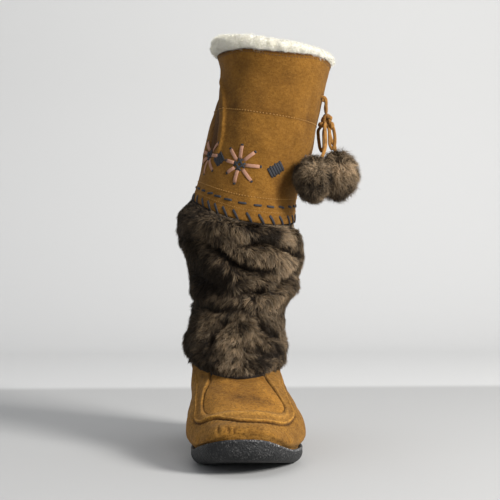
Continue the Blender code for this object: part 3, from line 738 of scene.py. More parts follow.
def shader_group(name, sockets, build):
    """Node group with named inputs and outputs, built once."""
    found = bpy.data.node_groups.get(name)
    if found:
        return found
    group = bpy.data.node_groups.new(name, "ShaderNodeTree")
    for label, side, kind, value in sockets:
        made = group.interface.new_socket(label, in_out=side, socket_type="NodeSocket" + kind)
        if value is not None:
            made.default_value = value
    start = group.nodes.new("NodeGroupInput")
    end = group.nodes.new("NodeGroupOutput")
    build(group, start.outputs, end.inputs)
    return group


def node(tree, kind, inputs=None, **settings):
    """Adds a node; inputs maps a socket's name or number to a value or to the output that feeds it."""
    made = tree.nodes.new("ShaderNode" + kind)
    for key, value in settings.items():
        setattr(made, key, value)
    for key, value in (inputs or {}).items():
        if isinstance(value, bpy.types.NodeSocket):
            tree.links.new(value, made.inputs[key])
        else:
            made.inputs[key].default_value = value
    return made


def maths(tree, operation, first, second=0.0, clamp=False):
    return node(tree, "Math", {0: first, 1: second}, operation=operation, use_clamp=clamp).outputs[0]


def blend(tree, share, first, second, mode="MIX"):
    """Mixes two colours by a share."""
    mixed = node(tree, "Mix", data_type="RGBA", blend_type=mode)
    for socket, value in ((0, share), (6, first), (7, second)):
        if isinstance(value, bpy.types.NodeSocket):
            tree.links.new(value, mixed.inputs[socket])
        else:
            mixed.inputs[socket].default_value = value if socket == 0 else (*value, 1.0)
    return mixed.outputs[2]


def ramp(tree, value, low, high):
    """Share of the way from low to high, smoothed at both ends."""
    made = node(tree, "MapRange", {0: value, 1: low, 2: high, 3: 0.0, 4: 1.0}, interpolation_type="SMOOTHSTEP")
    return made.outputs[0]


def mottle_group():
    """Cloudy patches and fine grain at two sizes, each about a half."""

    def build(tree, given, out):
        where = given["Place"]
        per_patch = maths(tree, "DIVIDE", 1.0, given["Patch size"])
        per_grain = maths(tree, "DIVIDE", 1.0, given["Grain size"])
        patch = node(tree, "TexNoise", {"Vector": where, "Scale": per_patch, "Detail": 4.0, "Roughness": 0.6})
        grain = node(tree, "TexNoise", {"Vector": where, "Scale": per_grain, "Detail": 3.0, "Roughness": 0.7})
        tree.links.new(patch.outputs[0], out["Patch"])
        tree.links.new(grain.outputs[0], out["Grain"])

    sockets = (
        ("Place", "INPUT", "Vector", None),
        ("Patch size", "INPUT", "Float", 0.03),
        ("Grain size", "INPUT", "Float", 0.001),
        ("Patch", "OUTPUT", "Float", None),
        ("Grain", "OUTPUT", "Float", None),
    )
    return shader_group("Mottle", sockets, build)


def new_material(name, roughness, **constants):
    """Material with a Principled shader; constants are set on the shader's own sockets."""
    made = bpy.data.materials.new(name)
    made.use_nodes = True
    shader = made.node_tree.nodes["Principled BSDF"]
    shader.inputs["Roughness"].default_value = roughness
    for socket, value in constants.items():
        shader.inputs[socket.replace("_", " ")].default_value = value
    return made, made.node_tree, shader


def mottled(tree, patch_size, grain_size):
    """The mottle group on object coordinates: its patch and grain."""
    place = node(tree, "TexCoord").outputs["Object"]
    group = node(tree, "Group", node_tree=mottle_group())
    tree.links.new(place, group.inputs["Place"])
    group.inputs["Patch size"].default_value = patch_size
    group.inputs["Grain size"].default_value = grain_size
    return group.outputs["Patch"], group.outputs["Grain"], place


def bumped(tree, shader, height, distance, strength=1.0):
    bump = node(tree, "Bump", {"Height": height, "Distance": distance, "Strength": strength})
    tree.links.new(bump.outputs[0], shader.inputs["Normal"])


def tone_of(tree):
    """The vertex colours that a piece carries."""
    return node(tree, "VertexColor", layer_name="Tone").outputs["Color"]


def suede_material(name, colours, patch_size, contrast, freckled):
    """Napped suede: clouds from dark to light, brushed streaks and freckles of the nap, and the piece's own tone."""
    made, tree, shader = new_material(name, 0.93, Sheen_Weight=0.06, Sheen_Roughness=0.6)
    shader.inputs["Sheen Tint"].default_value = (1.0, 0.8, 0.5, 1.0)
    shader.inputs["Specular IOR Level"].default_value = 0.15
    patch, grain, place = mottled(tree, patch_size, 0.0017)
    brushed = node(tree, "Mapping", {"Vector": place, "Scale": (1.0, 1.0, 1.5)}).outputs[0]
    streak = node(tree, "TexNoise", {"Vector": brushed, "Scale": 260.0, "Detail": 5.0, "Roughness": 0.75}).outputs[0]
    fine = node(tree, "TexNoise", {"Vector": place, "Scale": 1500.0, "Detail": 2.0}).outputs[0]
    spread = ramp(tree, patch, 0.5 - 0.17 / contrast, 0.5 + 0.17 / contrast)
    base = blend(tree, spread, colours.suede_dark, colours.suede)
    nap = maths(tree, "MULTIPLY", ramp(tree, streak, 0.38, 0.68), 0.28 + 0.3 * freckled)
    base = blend(tree, nap, base, colours.suede_light)
    freckles = maths(tree, "MULTIPLY", ramp(tree, grain, 0.50, 0.62), freckled)
    base = blend(tree, freckles, base, tuple(0.6 * part for part in colours.suede_dark))
    base = blend(tree, 1.0, base, tone_of(tree), "MULTIPLY")
    tree.links.new(base, shader.inputs["Base Color"])
    height = maths(tree, "ADD", maths(tree, "MULTIPLY", streak, 1.4), maths(tree, "MULTIPLY", fine, 0.5))
    bumped(tree, shader, height, 0.0008, 0.8)
    return made


# Sizes and colours that a user would change


class MuklukSizes(bpy.types.PropertyGroup):
    suede: bpy.props.FloatProperty(
        name="Suede", description="Thickness of the suede", default=0.0018, unit="LENGTH"
    )
    pile: bpy.props.FloatProperty(
        name="Pile", description="Length of the fur's strands", default=0.0090, unit="LENGTH"
    )
    pile_count: bpy.props.IntProperty(
        name="Pile strands", description="Strands in each of the fur wrap's three bands", default=46500
    )
    pompom_count: bpy.props.IntProperty(
        name="Pompom strands", description="Strands in each pompom", default=13500
    )
    fleece_count: bpy.props.IntProperty(
        name="Fleece curls", description="Curls in the collar's fleece", default=31000
    )
    lace: bpy.props.FloatProperty(
        name="Lace", description="Width of the flat lace", default=0.0034, unit="LENGTH"
    )


def colour(name, description, value):
    return bpy.props.FloatVectorProperty(
        name=name, description=description, default=value, subtype="COLOR", min=0.0, max=1.0
    )


class MuklukColours(bpy.types.PropertyGroup):
    suede: colour("Suede", "Main colour of the golden suede", (0.235, 0.103, 0.0125))
    suede_dark: colour("Suede, dark", "Rubbed and soiled patches", (0.150, 0.064, 0.009))
    suede_light: colour("Suede, light", "Raised nap", (0.360, 0.178, 0.034))
    rubber: colour("Rubber", "Sole", (0.0050, 0.0052, 0.0057))
    fur_root: colour("Fur root", "Root of each strand", (0.0085, 0.0060, 0.0042))
    fur_tip: colour("Fur tip", "Tip of a light strand", (0.43, 0.318, 0.203))
    fleece: colour("Fleece", "Collar and lining", (0.98, 0.94, 0.82))
    footbed: colour("Footbed", "Felt of the insole", (0.55, 0.48, 0.38))
    thread: colour("Dark lacing", "Running and whip stitches", (0.0105, 0.0110, 0.0142))
    ray: colour("Star rays", "Flat strips of the stars", (0.29, 0.146, 0.092))
    lace: colour("Lace", "Flat suede lace", (0.30, 0.142, 0.030))
    floor: colour("Floor", "Plain studio floor", (0.444, 0.445, 0.443))


def settings():
    return bpy.context.scene.mukluk_sizes, bpy.context.scene.mukluk_colours


FINISHES = {}


def finish(name, make):
    """A material made once and shared."""
    if name not in FINISHES:
        FINISHES[name] = make()
    return FINISHES[name]


# Sole and footbed


def rubber_material():
    """Black rubber with a pebbled grain; grey dust sits on its high points; the piece's tone multiplies the colour,
    with painted light along the rim and towards the toe and the outer side.
    """
    _, colours = settings()
    made, tree, shader = new_material("Pebbled rubber", 0.6)
    shader.inputs["Specular IOR Level"].default_value = 0.35
    patch, grain, place = mottled(tree, 0.012, 0.0015)
    pebble = node(tree, "TexVoronoi", {"Vector": place, "Scale": 620.0}, feature="SMOOTH_F1").outputs["Distance"]
    dust = maths(tree, "MULTIPLY", ramp(tree, grain, 0.53, 0.64), ramp(tree, patch, 0.34, 0.62))
    dust = maths(tree, "MULTIPLY", dust, 0.65)
    base = blend(tree, dust, colours.rubber, (0.105, 0.102, 0.098))
    base = blend(tree, 1.0, base, tone_of(tree), "MULTIPLY")
    tree.links.new(base, shader.inputs["Base Color"])
    height = maths(tree, "ADD", maths(tree, "MULTIPLY", pebble, -1.0), maths(tree, "MULTIPLY", grain, 1.1))
    bumped(tree, shader, height, 0.0009, 0.8)
    return made


def tread(s, across):
    """Depth of the tread: a bar at each groove, and fine waves between."""
    depth = np.zeros(np.broadcast(s, across).shape)
    for at in GROOVES_AT:
        gap = np.abs(s - at) - GROOVE_WIDTH / 2
        depth = np.maximum(depth, GROOVE_DEPTH * np.clip(-gap / 0.5 + 0.5, 0, 1))
    fine = 0.5 + 0.5 * np.cos(TURN * (s + 1.6 * np.sin(across / 5.5)) / 7.0)
    return np.maximum(depth, 0.7 * np.clip(fine * 3 - 2, 0, 1))


def make_sole():
    """Rubber cup: a smooth profile of insets and heights carried round the outline, closed by the tread."""
    count = 480
    theta = np.arange(count) * TURN / count
    low = ((8.5, 0.0), (5.8, 0.7), (3.9, 1.9), (2.3, 3.5), (1.2, 5.1), (0.45, 7.0), (0.0, 9.0))
    rings = [sole_ring(theta, inset, lambda s, _: sole_bottom(s) + up) for inset, up in low]
    side_top = sole_ring(theta, 0.25, lambda s, at: sole_rim(s, at) - 2.2)
    rings += [rings[-1] * (1 - share) + side_top * share for share in (0.25, 0.5, 0.75)]
    lip = ((0.25, -2.2), (0.1, -1.7), (0.0, -1.1), (0.25, -0.45), (0.9, 0.0), (1.8, 0.05), (2.7, -0.1), (3.2, -0.5))
    rings += [sole_ring(theta, inset, lambda s, at: sole_rim(s, at) + up) for inset, up in lip]
    rings.append(sole_ring(theta, CUP_WALL, lambda s, _: sole_floor(s) + 0.5))
    rings.append(sole_ring(theta, CUP_WALL + 1, lambda s, _: sole_floor(s)))
    rings = np.array(rings)
    rows = len(rings)
    index = np.arange(rows * count).reshape(rows, count)
    index = np.hstack([index, index[:, :1]])
    side = np.stack([index[:-1, :-1], index[:-1, 1:], index[1:, 1:], index[1:, :-1]], -1).reshape(-1, 4)
    points = [rings.reshape(-1, 3)]
    faces = [side]
    half = count // 2
    total = rows * count
    for ring, row, across, treaded in ((rings[0], index[0], 40, True), (rings[-1], index[rows - 1], 8, False)):
        right = ring[1:half]
        left = ring[:half:-1]
        share = np.linspace(0, 1, across + 1)[None, 1:-1, None]
        middle = right[:, None] * (1 - share) + left[:, None] * share
        if treaded:
            middle[..., 2] += tread(HEEL_Y - middle[..., 1], middle[..., 0])
        points.append(middle.reshape(-1, 3))
        inside = total + np.arange(middle[..., 0].size).reshape(middle.shape[:2])
        total += inside.size
        strip = np.hstack([row[1:half, None], inside, row[:half:-1][: half - 1, None]])
        if treaded:
            strip = strip[:, ::-1]
        quads = np.stack([strip[:-1, :-1], strip[1:, :-1], strip[1:, 1:], strip[:-1, 1:]], -1).reshape(-1, 4)
        heel = np.stack([np.full(across, row[0]), strip[0, :-1], strip[0, 1:]], -1)
        toe = np.stack([np.full(across, row[half]), strip[-1, 1:], strip[-1, :-1]], -1)
        faces += [quads, heel, toe]
    points = np.concatenate(points)
    tone = np.ones((len(points), 3))
    edge = np.zeros(len(points))
    edge[: rows * count].reshape(rows, count)[11:15] = 1.0
    # Painted light with dust: the rim's lip paler, as a painted highlight with dust on it, and the sole paler towards
    # the toe and the outer side, where the light falls
    dust_and_light = step(points[:, 0], -30.0, 40.0) * step(-points[:, 1], 60.0, 150.0)
    tone += edge[:, None] * (1.2 + 5.0 * dust_and_light[:, None]) + 0.35 * dust_and_light[:, None]
    return piece("sole_rubber", points, faces, finish("rubber", rubber_material), "outsole", tone)


def felt_material():
    """Pale felt, flecked."""
    _, colours = settings()
    made, tree, shader = new_material("Footbed felt", 0.95)
    patch, grain, _ = mottled(tree, 0.02, 0.0009)
    base = blend(tree, maths(tree, "MULTIPLY", grain, 0.5), colours.footbed, (0.36, 0.30, 0.22))
    tree.links.new(blend(tree, maths(tree, "MULTIPLY", patch, 0.2), base, (0.3, 0.25, 0.2)), shader.inputs["Base Color"])
    bumped(tree, shader, grain, 0.0005)
    return made


def make_footbed():
    """Felt insole: rings shrunk towards the middle line, cupped at the heel and crowned at the arch."""
    theta = np.arange(160) * TURN / 160
    inset = CUP_WALL + GAP + WALL + GAP
    edge = sole_ring(theta, inset, lambda s, _: sole_floor(s) + GAP)
    mirror = np.roll(edge[::-1], 1, axis=0)
    middle = (edge + mirror) / 2
    rings = []
    for share, up in ((0.0, 0.0), (0.0, 3.4), (0.02, 4.2), (0.06, 4.5), (0.3, 4.0), (0.6, 3.6), (0.93, 3.5)):
        ring = edge * (1 - share) + middle * share
        ring[:, 2] += up
        rings.append(ring)
    rings = [rings[0] * 0.07 + middle * 0.93] + rings
    sections = np.array(rings).transpose(1, 0, 2)
    faces = facing_out(sections, tube_faces(len(theta), len(rings), True))
    return piece("footbed", sections, [faces], finish("felt", felt_material), "insole")


class MUKLUK_OT_sole(bpy.types.Operator):
    """Rubber cup sole and felt footbed"""

    bl_idname = "mukluk.sole"
    bl_label = "Sole and footbed"

    def execute(self, context):
        make_sole()
        make_footbed()
        return {"FINISHED"}


# Suede foot, plug and cuff


def suede_tone(height):
    """Colour factor of suede: lighter on ridges, partly rubbed wear and partly painted highlight, and darker in
    creases, as painted shade.
    """
    light = np.clip(height, 0, 1.9)[..., None] * np.array([0.42, 0.48, 0.62])
    dark = np.clip(-height, 0, 1.3)[..., None] * np.array([0.62, 0.67, 0.74])
    return np.clip(1 + light - dark, 0.04, 2.0)


def foot_suede():
    _, colours = settings()
    return finish("foot suede", lambda: suede_material("Foot suede", colours, 0.014, 0.8, 0.75))


def make_foot():
    """Suede foot and lower shaft: the body skin with soft creases, and small pleats drawn in below the seam."""
    sizes, _ = settings()
    skin = SKINS["body"]
    theta = np.arange(360) * TURN / 360
    levels = np.concatenate([np.linspace(0.25, 0.9, 4), np.linspace(1.0, 6.8, 74), np.linspace(7.0, 8.6, 6)])
    turn, level = np.meshgrid(theta, levels)
    base = skin.at(turn, level)
    crease = lines_near(base, skin, FOOT_CREASES)
    soft = 0.35 * waves(base, 42.0, 1) + 0.15 * waves(base, 17.0, 2)
    seam = skin.at(*at_stations(SEAM_LINE, np.linspace(0, 3, 400)))
    run = np.concatenate([[0], np.cumsum(np.linalg.norm(np.diff(seam, axis=0), axis=1))])
    gap, closest = near(base, seam)
    pleats = np.sin(TURN * run[closest] / PLEAT_PITCH) * np.exp(-(((gap - 3.5) / 3.5) ** 2))
    over_rim = np.clip((level - 1.0) / 0.5, 0, 1)
    drawn = -0.5 * np.exp(-((gap / 1.6) ** 2))
    outer = skin.at(turn, level, (crease + soft + 0.28 * pleats + drawn) * over_rim)
    inner_levels = np.concatenate([np.linspace(0.25, 7.0, 13), [8.6]])
    inner = skin.at(theta[None], inner_levels[:, None], np.full((len(inner_levels), 1), -sizes.suede / MM))
    # Painted light and shade with the suede's own tone: darker along the sole's rim, in creases and in a line along the
    # seam, as painted shade; lighter on ridges and pleat crests, partly rubbed and partly painted light; the waves are
    # uneven tone
    rim_shade = -0.35 * np.exp(-(((level - 1.02) / 0.10) ** 2))
    wear_and_shade = crease / 1.1 + 0.12 * waves(base, 11.0, 3) + 0.10 * waves(base, 30.0, 4)
    # Painted light: the foot lighter on its inner side and a little darker on its outer side
    wear_and_shade += np.interp(turn, (1.4, 2.0, 2.6, 3.8, 4.3, 5.2), (0.0, -0.12, 0.0, 0.0, 0.4, 0.0))
    tone = suede_tone(wear_and_shade + 0.22 * pleats - 1.05 * np.exp(-((gap / 1.2) ** 2)) + rim_shade)
    tone = tone * np.array([1.0, 1.03, 1.16])
    return ringed("suede_foot", outer, inner, foot_suede(), "upper", tone)


def overlay(name, theta, level, lift, wear_and_shade, node_, tint=(1.0, 1.0, 1.0)):
    """Piece lying on the foot: a grid of places with its lift off the skin, closed by a plain underside."""
    skin = SKINS["body"]
    under = np.linspace(theta.shape[1] - 1, 0, 4).astype(int)
    low = skin.at(theta[:, under], level[:, under], np.full((len(theta), 4), -0.6))
    sections = np.concatenate([skin.at(theta, level, lift), low], axis=1)
    tone = suede_tone(wear_and_shade) * np.array(tint)
    tone = np.concatenate([tone, tone[:, under]], axis=1).reshape(-1, 3)
    faces = facing_out(sections, tube_faces(sections.shape[0], sections.shape[1], False))
    return piece(name, sections, [faces], foot_suede(), node_, tone)


def between(line, other, stations, others, share):
    """Places on straight lines across from one line's stations to another's: angles and levels."""
    first = np.stack(at_stations(line, stations))[:, :, None]
    last = np.stack(at_stations(other, others))[:, :, None]
    return first * (1 - share) + last * share


def front_of(stations):
    """1 where the band crosses the front of the plug, 0 along its sides."""
    return step(stations, 1.0, 1.25) * (1 - step(stations, 1.85, 2.1))


def run_across(theta, level):
    """Millimetres along each row of places, from its first."""
    flat = SKINS["body"].at(theta, level)
    steps = np.linalg.norm(np.diff(flat, axis=1), axis=2)
    return np.concatenate([np.zeros((len(flat), 1)), np.cumsum(steps, axis=1)], axis=1), flat


def make_band():
    """Raised U-shaped band: a firm ridge by the moccasin seam, a flat, and a softer ridge by the plug.

    Lift is a plateau plus a bell across each ridge; it sinks at the seam and, along the sides, at the plug.
    """
    stations = np.linspace(0, 3, 420)
    share = np.array([0, 0.02, 0.05, 0.09, 0.13, 0.17, 0.22, 0.28, 0.35, 0.43, 0.51, 0.59, 0.66, 0.72])
    share = np.concatenate([share, [0.78, 0.83, 0.88, 0.92, 0.96, 1.0]])
    theta, level = between(SEAM_LINE, PLUG_LINE, stations, stations, share)
    run, flat = run_across(theta, level)
    rest = run[:, -1:] - run
    front = front_of(stations)[:, None]
    place, wide = 3 + 3 * front, 2 + 2 * front
    ridge = np.exp(-(((run - 2.2) / 1.1) ** 2))
    second = np.exp(-(((rest - place) / wide) ** 2))
    lift = 1.15 + 0.95 * ridge - 0.25 * np.exp(-(((run - 6) / 2) ** 2)) + (1.1 + 0.2 * front) * second
    rise = 1 - np.exp(-run / 0.7)
    sunk = (1 - front) * np.exp(-rest / 0.8)
    lift = lift * rise - 0.5 * (1 - rise) - 1.5 * sunk + 0.10 * waves(flat, 9.0, 5)
    # Ridges lighter, partly rubbed wear and partly painted highlight; painted shade along the seam and where the band
    # sinks by the plug's sides; the waves are the suede's uneven tone
    wear_and_shade = 1.9 * ridge**3 + (0.6 + 0.7 * front) * second**2 + 0.15 * front - 1.3 * np.exp(-((run / 0.8) ** 2)) - 1.3 * sunk
    wear_and_shade += 0.10 * waves(flat, 14.0, 6) + 0.10 * waves(flat, 5.0, 7)
    return overlay("seam_band", theta, level, lift, wear_and_shade, "apron_frame", (1.0, 1.02, 1.1))


def make_plug():
    """Plug inside the band: rows from its front point back to the fur, crowned a little, its sides sewn down."""
    back = np.linspace(0.01, 1, 84)
    share = 0.5 - 0.5 * np.cos(np.linspace(0, math.pi, 48))
    low, high = PLUG_FRONT * (1 - back), PLUG_FRONT + (3 - PLUG_FRONT) * back
    theta, level = between(PLUG_LINE, PLUG_LINE, low, high, share)
    run, flat = run_across(theta, level)
    lift = 1.2 + 0.3 * np.sin(np.pi * share)[None] * back[:, None]
    # Uneven tone and a lighter line along the plug's front edge; below, painted shade where its sides are sewn down,
    # and its folds lighter where they rise and darker where they sink, as painted light and shade; the patches are worn
    # spots
    wear_and_shade = 0.12 * waves(flat, 12.0, 8) + 0.12 * waves(flat, 30.0, 9) + 0.75 * np.exp(-(((level - 4.9) / 0.45) ** 2))
    for side, gap in ((low, run), (high, run[:, -1:] - run)):
        sewn = (1 - front_of(side))[:, None]
        lift = lift - 1.5 * sewn * np.exp(-gap / 0.9)
        wear_and_shade = wear_and_shade - 1.3 * sewn * np.exp(-((gap / 1.1) ** 2))
    folds = 0.30 * waves(flat * np.array([1.0, 0.45, 1.0]), 20.0, 10)
    wear_and_shade = wear_and_shade + patched(flat, SKINS["body"], PLUG_PATCHES)
    return overlay("plug", theta, level, lift + folds, wear_and_shade + 0.5 * folds, "apron", (1.02, 0.98, 0.84))


def cuff_face():
    """The cuff's outer face, how it is rubbed, and the light and shade painted on it.

    The cuff skin gets its corner ridge and slack hollows, a sunk machine seam, two lace holes, a turned hem and
    a rounded top.
    """
    skin = SKINS["cuff"]
    theta = np.arange(360) * TURN / 360
    levels = np.concatenate([[14.0, 14.015], np.linspace(14.03, 19.95, 92), [19.98, 20.0]])
    turn, level = np.meshgrid(theta, levels)
    base = skin.at(turn, level)
    crease = lines_near(base, skin, CUFF_CREASES)
    soft = 0.5 * waves(base, 60.0, 11) + 0.22 * waves(base, 21.0, 12)
    seam = np.exp(-(((level - seam_level(turn)) / 0.035) ** 2))
    holes = sum(np.exp(-(((base - skin.at(*hole)) ** 2).sum(-1)) / 2.2**2) for hole in TIE_HOLES)
    away = np.clip((level - 14.0) / 0.5, 0.25, 1) * np.clip((20.3 - level) / 0.6, 0.3, 1)
    ends = 0.9 * np.exp(-(((level - 14.0) / 0.02) ** 2)) + 0.7 * np.exp(-(((20.0 - level) / 0.02) ** 2))
    face = skin.at(turn, level, (crease + soft) * away - 0.25 * seam - ends - 1.2 * holes)
    face[..., 2] += 1.3 * step(level, 19.0, 20.0) * np.sin(5 * turn + 1.9)
    # Uneven tone, and the patches: stains, fading and painted shade
    patches = 0.06 * waves(base, 34.0, 14) + 0.05 * waves(base, 12.0, 15) + 0.7 * patched(base, skin, CUFF_PATCHES) - 0.24
    hem = 0.18 * np.exp(-(((level - 14.03) / 0.05) ** 2))
    collar = -0.95 * np.exp(-(((level - 19.98) / 0.09) ** 2))
    below = -0.22 * np.exp(-(((level - seam_level(turn) - 0.12) / 0.12) ** 2))
    # Ridges lighter, partly rubbed and partly painted light, and hollows darker as painted shade; the lace holes
    # darkened as painted shade; the hem's edge lighter, and the seam, the band below it and the collar's edge darker
    wear_and_shade = np.clip(0.25 * crease, -0.6, 0.0) + np.clip(0.38 * crease, 0.0, 0.7) + patches + hem + collar + below - 0.45 * seam - 1.5 * holes
    return Skin(levels, face), face, wear_and_shade


def make_cuff():
    """Suede cuff: its creased face, and a plain inner face a suede's thickness in."""
    sizes, colours = settings()
    theta = np.arange(360) * TURN / 360
    _, face, wear_and_shade = cuff_face()
    inner_levels = np.linspace(14.0, 20.0, 14)
    depth = np.full((len(inner_levels), 1), -sizes.suede / MM - 0.4)
    inner = SKINS["cuff"].at(theta[None], inner_levels[:, None], depth)
    suede = finish("cuff suede", lambda: suede_material("Cuff suede", colours, 0.028, 0.4, 0.35))
    return ringed("suede_cuff", face, inner, suede, "upper", suede_tone(wear_and_shade))


def seam_level(theta):
    """Level of the horizontal machine seam, a little lower towards the outer side."""
    return 17.7 + 0.09 * np.cos(theta - 4.4)


class MUKLUK_OT_suede(bpy.types.Operator):
    """Suede foot, seam band, plug and cuff"""

    bl_idname = "mukluk.suede"
    bl_label = "Suede foot and cuff"

    def execute(self, context):
        make_foot()
        make_band()
        make_plug()
        make_cuff()
        return {"FINISHED"}


# Stitches and ornament


def straps(paths, normals, width, thickness):
    """Flat straps along a batch of paths (strap, point, xyz): an eight-point rounded section, ends closed."""
    paths = np.asarray(paths, float)
    ways = unit(np.gradient(paths, axis=1))
    sides = unit(np.cross(ways, normals))
    tops = np.cross(sides, ways)
    around = (np.arange(8) + 0.5) * TURN / 8
    across = power(np.cos(around), 0.7)[:, None] * width / 2
    over = power(np.sin(around), 0.7)[:, None] * thickness / 2
    tubes = paths[:, :, None] + sides[:, :, None] * across + tops[:, :, None] * over
    points, faces = many_tubes(tubes)
    return points, facing_out(points, faces)


def joined(parts):
    """One mesh's points and faces from several."""
    starts = np.cumsum([0] + [len(points) for points, _ in parts[:-1]])
    faces = [faces + start for (_, faces), start in zip(parts, starts)]
    return np.concatenate([points for points, _ in parts]), faces


def offset_on(skin, theta, level, right, up):
    """Angle and level reached from a place by going millimetres to a viewer's right and up the wall.

    The step is solved from the skin's two slopes by least squares.
    """
    theta, level, right, up = np.broadcast_arrays(*[np.asarray(v, float) for v in (theta, level, right, up)])
    by_turn = (skin.at(theta + 0.01, level) - skin.at(theta - 0.01, level)) / 0.02
    by_level = (skin.at(theta, level + 0.02) - skin.at(theta, level - 0.02)) / 0.04
    out = skin.axes(theta, level)[2]
    up_way = unit(np.array([0.0, 0.0, 1.0]) - out[..., 2:] * out)
    goal = right[..., None] * np.cross(up_way, out) + up[..., None] * up_way
    a, b, c = [(x * y).sum(-1) for x, y in ((by_turn, by_turn), (by_turn, by_level), (by_level, by_level))]
    p, q = (goal * by_turn).sum(-1), (goal * by_level).sum(-1)
    det = a * c - b * b
    return theta + (c * p - b * q) / det, level + (a * q - b * p) / det


def sewn(skin, centres, firsts, lasts, width, thickness, high, count=6):
    """Straps sewn on a skin: each runs from first to last, millimetres right and up from its centre.

    Both ends dive into the skin and the middle stands at the height given.
    """
    centres, firsts, lasts = [np.asarray(v, float)[:, None] for v in (centres, firsts, lasts)]
    share = np.linspace(0, 1, count)
    ways = firsts + (lasts - firsts) * share[None, :, None]
    theta, level = offset_on(skin, centres[..., 0], centres[..., 1], ways[..., 0], ways[..., 1])
    lift = np.broadcast_to(-0.5 + (high + 0.5) * (1 - np.abs(2 * share - 1) ** 5), theta.shape)
    return straps(skin.at(theta, level, lift), skin.axes(theta, level)[2], width, thickness)


def thread_material(name, tint, pale):
    """Dull thread or thin leather, with finer threads of a paler tint."""
    made, tree, shader = new_material(name, 0.75)
    _, grain, place = mottled(tree, 0.004, 0.0006)
    fine = node(tree, "TexNoise", {"Vector": place, "Scale": 2200.0, "Detail": 2.0}).outputs[0]
    tree.links.new(blend(tree, ramp(tree, grain, 0.35, 0.7), tint, pale), shader.inputs["Base Color"])
    bumped(tree, shader, fine, 0.0003, 0.6)
    return made


def dark_thread():
    _, colours = settings()
    tint = tuple(colours.thread)
    return finish("dark thread", lambda: thread_material("Dark lacing", tint, tuple(2.2 * part for part in tint)))


def round_row(seen, count):
    """Angles all round: those seen from the front, then even ones over the rest."""
    seen = np.sort(seen)
    return np.concatenate([seen, np.linspace(seen[-1], seen[0] + TURN, count + 2)[1:-1]])


def make_stitches():
    """Machine-sewn dotted rows, the running stitches above the hem and the whip stitches over it."""
    _, colours = settings()
    skin, _, _ = cuff_face()
    dots = []
    for level_of, pitch, size in ((seam_level, 3.1, 1.6), (lambda at: 14.87 + 0 * at, 2.9, 1.5)):
        count = int(STITCH_ROUND / pitch)
        theta = np.arange(count) * TURN / count
        centres = np.stack([theta, level_of(theta)], -1)
        half = np.tile([size / 2, 0.0], (count, 1))
        lean = np.stack([half[:, 0], -0.12 * half[:, 0]], -1)
        dots.append(sewn(skin, centres, -lean, lean, 0.9, 0.6, 0.35, 4))
    # A fine zigzag just above the hem
    theta = np.arange(150) * TURN / 150
    centres = np.stack([theta, np.full(150, 14.4)], -1)
    slant = np.tile([1.1, 0.0], (150, 1)) + np.where(np.arange(150) % 2, 1, -1)[:, None] * np.array([0.0, 0.9])
    dots.append(sewn(skin, centres, -slant, slant, 0.45, 0.4, 0.1, 4))
    points, faces = joined(dots)
    pale = tuple(colours.suede_light)
    light = finish("pale thread", lambda: thread_material("Pale thread", pale, tuple(0.6 * part for part in pale)))
    piece("machine_stitches", points, faces, light, "upper")
    # Dark dots under the collar's edge
    count = 130
    theta = np.arange(count) * TURN / count
    centres = np.stack([theta, np.full(count, 19.84)], -1)
    half = np.tile([0.65, 0.0], (count, 1))
    under = sewn(skin, centres, -half, half, 0.8, 0.4, 0.05, 4)
    running = round_row(RUNNING_SEEN, 17)
    centres = np.stack([running, np.full(len(running), RUNNING_LEVEL)], -1)
    rng = np.random.default_rng(51)
    tilt = -0.12 + rng.normal(0, 0.05, len(running))
    half = np.stack([np.full(len(running), 4.0), 4.0 * tilt], -1)
    run = sewn(skin, centres, -half, half, 2.2, 1.1, 0.45, 7)
    points, faces = joined([under, run])
    piece("running_stitches", points, faces, dark_thread(), "upper")
    return make_whips(skin)


def make_whips(skin):
    """Whip stitches: from above the hem down and to the right, round the hem's edge and up behind it."""
    tops = round_row(WHIP_SEEN, 20)
    right = np.array([-0.6, 0.0, 2.0, 4.0, 5.8, 6.5, 6.9, 6.9])
    level = np.array([14.31, 14.27, 14.19, 14.10, 14.03, 14.0, 14.0, 14.04])
    lift = np.array([-0.6, 0.35, 0.75, 0.8, 0.75, 0.1, -1.4, -2.9])
    drop = np.array([0.0, 0.0, 0.0, 0.0, 0.3, 1.5, 1.6, 0.4])
    theta, _ = offset_on(skin, tops[:, None], 14.15, right[None], 0.0)
    levels = np.broadcast_to(level, theta.shape)
    paths = skin.at(theta, levels, np.broadcast_to(lift, theta.shape))
    paths = paths - drop[None, :, None] * skin.axes(theta, levels)[1]
    # The strap's face turns with it from outwards to downwards and inwards
    turned = np.array([0.0, 0.0, 0.0, 0.0, 0.5, 1.3, 2.3, 2.9])[None, :, None]
    _, up, out = skin.axes(theta, levels)
    faces_out = out * np.cos(turned) - up * np.sin(turned)
    points, faces = straps(paths, faces_out, 2.4, 1.0)
    return piece("whip_stitches", points, [faces], dark_thread(), "upper")


